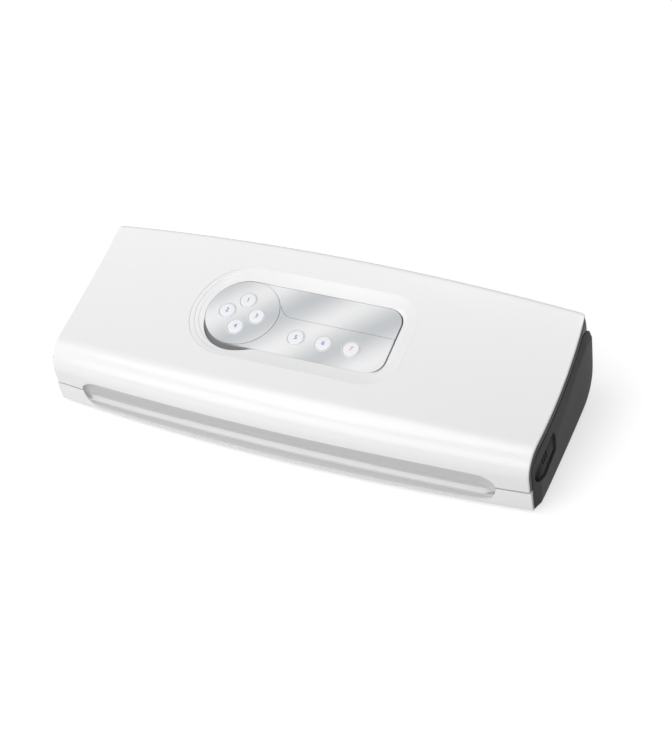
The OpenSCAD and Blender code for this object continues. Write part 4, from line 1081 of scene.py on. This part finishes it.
def make_collars():
    ring = [(KEY_R + 0.2, 0.0), (KEY_R + 0.2, 0.22), (KEY_R + 0.35, 0.33), (KEY_R + COLLAR_W - 0.35, 0.34),
            (KEY_R + COLLAR_W - 0.08, 0.24), (KEY_R + COLLAR_W, 0.0)]
    for name, keys, top in (("dial_collars", KEYS[:4], DIAL_TOP), ("row_collars", KEYS[4:], PLATE_TOP)):
        unit = closed_ring("collar_unit", turned(ring))
        piece = repeat(name, unit, [on_panel(u, v, top) for u, v in keys], "collar_grey", (SLOPE, 0.0, 0.0))
        settle(piece, "lid", "collar_grey", ["key_collars"] if name == "dial_collars" else (), 40)


# ---- base

def base_line(inset):
    nose = through([(Y_FRONT + 0.5, BASE_TOP), (Y_FRONT + 0.4, BASE_TOP - 6), (Y_FRONT + 0.9, FOOT_H + 3.4),
                    (Y_FRONT + 2.2, FOOT_H + 0.9), (Y_FRONT + 4.2, FOOT_H)], 4)
    heel = circle(Y_REAR - HEEL_R, FOOT_H + HEEL_R, HEEL_R, np.arange(270, 361, 5))
    return beside([tuple(p) for p in nose] + heel + [(Y_REAR, DECK_Z)], -inset)


def base_solid(name, inset, half, extra):
    line = [tuple(p[:2]) for p in base_line(inset)]
    if extra:
        line += [(line[-1][0], DECK_Z + extra)]
    line += [(DECK_STEP + 4 - extra / 8, DECK_Z + extra), (DECK_STEP - 2 - extra / 8, BASE_TOP + extra)]
    if extra:
        line += [(line[0][0], BASE_TOP + extra)]
    rings = [[(x, y, z) for y, z in line] for x in np.linspace(-half, half, 61)]
    piece = sweep(name, rings, shares=np.zeros((61, len(line))))
    return bowed(piece, "base_white")


LIP_UP = 1.4


def make_housing():
    body = base_solid("housing", 0.0, HALF_W, 0.0)
    combine(body, base_solid("hollow", BASE_WALL, HALF_W - BASE_WALL, 8.0))
    xs = [x for x in stations(GRIP_HALF + 3, pitch=8.0) if abs(x) <= GRIP_HALF]
    outline = [(x, BASE_TOP - (GRIP_DOWN - LIP_UP) * grip_open(x)) for x in xs] + [
        (GRIP_HALF, BASE_TOP + 6), (-GRIP_HALF, BASE_TOP + 6)]
    combine(body, prism("grip_cut", outline, 0, 1, in_front_view(-110, -36)))
    hole = disc_outline(GLAND_X, GLAND_Z, GLAND_R + 2, 6)
    combine(body, prism("lead_hole", hole, 0, 1, in_front_view(40, 90)))
    settle(body, "base", "base_white", ["base_housing"], 30)


def crease_share(y):
    return mix(0.46, 0.84, smooth((y + 58) / 90))


def cheek_bottom(y):
    low, front, rear = FOOT_H + 0.8, Y_FRONT + 5, Y_REAR - HEEL_R + 1
    if y < front:
        return low + 4.5 * (1 - math.sqrt(max(1 - ((front - y) / 4.6) ** 2, 0)))
    if y > rear:
        return low + (HEEL_R - 1) * (1 - math.sqrt(max(1 - ((y - rear) / (HEEL_R - 0.4)) ** 2, 0)))
    return low


def cheek_top(y):
    top = strip_z(y) - CHEEK_GAP / 2
    if y < Y_FRONT + ROLL_R:
        arch = max((ROLL_R - 5) ** 2 - (y - Y_FRONT - ROLL_R + 5) ** 2, 0) + 1
        top = min(top, ROLL_Z + 4 + math.sqrt(arch))
    back = clamp((y - Y_REAR + CHEEK_REAR_R) / CHEEK_REAR_R, 0.0, 1.0)
    return top - CHEEK_REAR_R * 0.9 * (1 - math.sqrt(1 - back * back))


def cheek_swell(y):
    t = (y - mix(Y_FRONT, Y_REAR, 0.5)) / (Y_REAR - Y_FRONT) * 2
    return max(1 - abs(t) ** 8, 0.02) ** 0.35


def cheek_section(y, shrink=0.0):
    """Outer line of a cheek from its foot over the crease to its top: sideways and height."""
    low = cheek_bottom(y)
    high = max(cheek_top(y), low + 3)
    k = mix(low, high, crease_share(y))
    edge = HALF_W + 0.75 + 0.85 * end_bow(y) - shrink
    out = mix(edge, HALF_W + CHEEK_BULGE - shrink, cheek_swell(y))
    nose = CHEEK_IN + 0.1 + 0.72 * max(y - CHEEK_FRONT - 0.8, 0) - shrink
    tail = CHEEK_IN + 0.3 + 1.1 * math.sqrt(max(Y_REAR - y, 0) * 4) - shrink
    edge, out = min(edge, nose, tail), min(out, nose, tail)
    crease = (out, mix(k, low, 0.04))
    lower = [(mix(edge, out, s), mix(low, k, t)) for s, t in ((0.7, 0.06), (0.93, 0.3), (0.99, 0.75))]
    upper = [(mix(edge, out, s), mix(k, high, t)) for s, t in ((0.96, 0.16), (0.55, 0.56))]
    lower = through([(edge, low)] + lower + [crease], 4)
    upper = through([crease] + upper + [(edge, high)], 5)[1:]
    return np.vstack([lower, upper])


BUTTON_LINE = [(-15.2, 16.2), (-13.4, 17.8), (14.6, 22.8), (17.4, 20.8), (18.3, 16), (17.6, 4.8), (-3.8, 1.9),
               (-15.4, 6.2), (-16.8, 10.4)]
BUTTON_GAP, BUTTON_CORNER, BUTTON_SINK = 0.4, 1.2, 1.3
BUTTON_RINGS = ((1.5, 1.0), (1.0, 0.985), (0.78, 0.95), (0.9, 0.90), (1.25, 0.86), (BUTTON_SINK, 0.8),
                (BUTTON_SINK, 0.5), (BUTTON_SINK, 0.2), (BUTTON_SINK, 0.03))
BAR_PITCH, BAR_Z, BAR_HALF_W, BAR_HALF_H, BAR_PROUD, BAR_FOOT = 3.2, 14.5, 0.55, 3.4, 0.35, 0.2


def button_outline(grow):
    points = np.array(BUTTON_LINE) + (LATCH_Y, BASE_TOP)
    centre = points.mean(axis=0)
    rounded = rounded_profile(points, BUTTON_CORNER)
    reach = np.linalg.norm(rounded - centre, axis=1)
    return centre + (rounded - centre) * ((reach + grow) / reach)[:, None]


def cheek_x(y, z, shrink):
    line = cheek_section(y, shrink)
    return float(np.interp(z, line[:, 1], line[:, 0]))


def make_cheeks():
    closing = np.array([0, 0.2, 0.6, 1.2, 2.0, 3.0, 4.5, 6.5])
    ys = np.concatenate([CHEEK_FRONT + closing, np.linspace(Y_FRONT + 11, Y_REAR - 12, 44), [Y_REAR - 9],
                         Y_REAR - closing[::-1]])
    wall_x = HALF_W - BASE_WALL
    for side, name in SIDES:
        rings = []
        for y in ys:
            line = cheek_section(y)
            ring = [(CHEEK_IN, line[0][1])] + [tuple(p) for p in line] + [(CHEEK_IN, line[-1][1])]
            rings.append([(side * x, y, z) for x, z in ring])
        cheek = sweep("cheek_" + name, rings)
        lining = [(LINING_FRONT, BASE_TOP + 0.3), (DECK_STEP - 2.3, BASE_TOP + 0.3),
                  (DECK_STEP + 3.7, DECK_Z + 0.3), (Y_REAR - 1, DECK_Z + 0.3), (Y_REAR - 1, 49.0)]
        lining += circle(HINGE_Y, HINGE_Z, HINGE_EYE_R, np.arange(-90, 91, 15))
        lining += [(y, cheek_top(y)) for y in np.linspace(HINGE_Y, LINING_TURN, 30)]
        lining += [(LINING_FRONT, cheek_top(LINING_TURN) - 6)]
        inner = prism("lining", lining, 0, 1, in_side_view(side * wall_x, side * (CHEEK_IN + 0.2)))
        combine(cheek, inner, "UNION")
        through_wall = in_side_view(side * (wall_x - 1), side * (HALF_W + 12))
        combine(cheek, prism("window", button_outline(BUTTON_GAP), 0, 1, through_wall))
        settle(cheek, "base", "cheek_grey", ["side_cheek_" + name], 24)


def grip_bar(name, side, y):
    """Raised bar on the release button, which follows the button's face."""
    rings = []
    for t in np.linspace(-1, 1, 9):
        w = BAR_HALF_W * math.sqrt(max(1 - t * t, 0)) + 0.05
        z = BASE_TOP + BAR_Z + t * BAR_HALF_H
        x = cheek_x(y, z, BUTTON_SINK)
        foot, face = side * (x - BAR_FOOT), side * (x + BAR_PROUD)
        rings.append([(foot, y - w, z), (face, y - w * 0.6, z), (face, y + w * 0.6, z), (foot, y + w, z)])
    return sweep(name, rings)


def make_buttons():
    outline = button_outline(0.0)
    centre = outline.mean(axis=0)
    for side, name in SIDES:
        rings = [[(side * (HALF_W - 1), y, z) for y, z in outline]]
        for sink, scale in BUTTON_RINGS:
            line = centre + (outline - centre) * scale
            rings.append([(side * cheek_x(y, z, sink), y, z) for y, z in line])
        button = sweep("release_button_" + name, rings)
        settle(button, "latch_" + name, "button_black", ["latch_button_" + name], 45)
        for i in (-1, 0, 1):
            bar = grip_bar("button_rib_%s_%d" % (name, i + 2), side, LATCH_Y + i * BAR_PITCH)
            settle(bar, "latch_" + name, "button_black", (), 50)


# ---- put together

def dress_solids():
    slots = {part["node"]: part["material_slot"] for part in frame["record"]["subparts"]}
    for name, node in CAD.items():
        if name in slots:
            node.data.materials.clear()
            node.data.materials.append(FINISH[slots[name]])


look_through_camera()
light_the_studio()
lay_floor()
make_finishes()
dress_solids()
make_lid_skin()
make_end_caps()
make_grip_inserts()
make_surround()
make_plates()
make_keys()
make_collars()
make_housing()
make_cheeks()
make_buttons()

bpy.context.scene.view_settings.view_transform = "Standard"
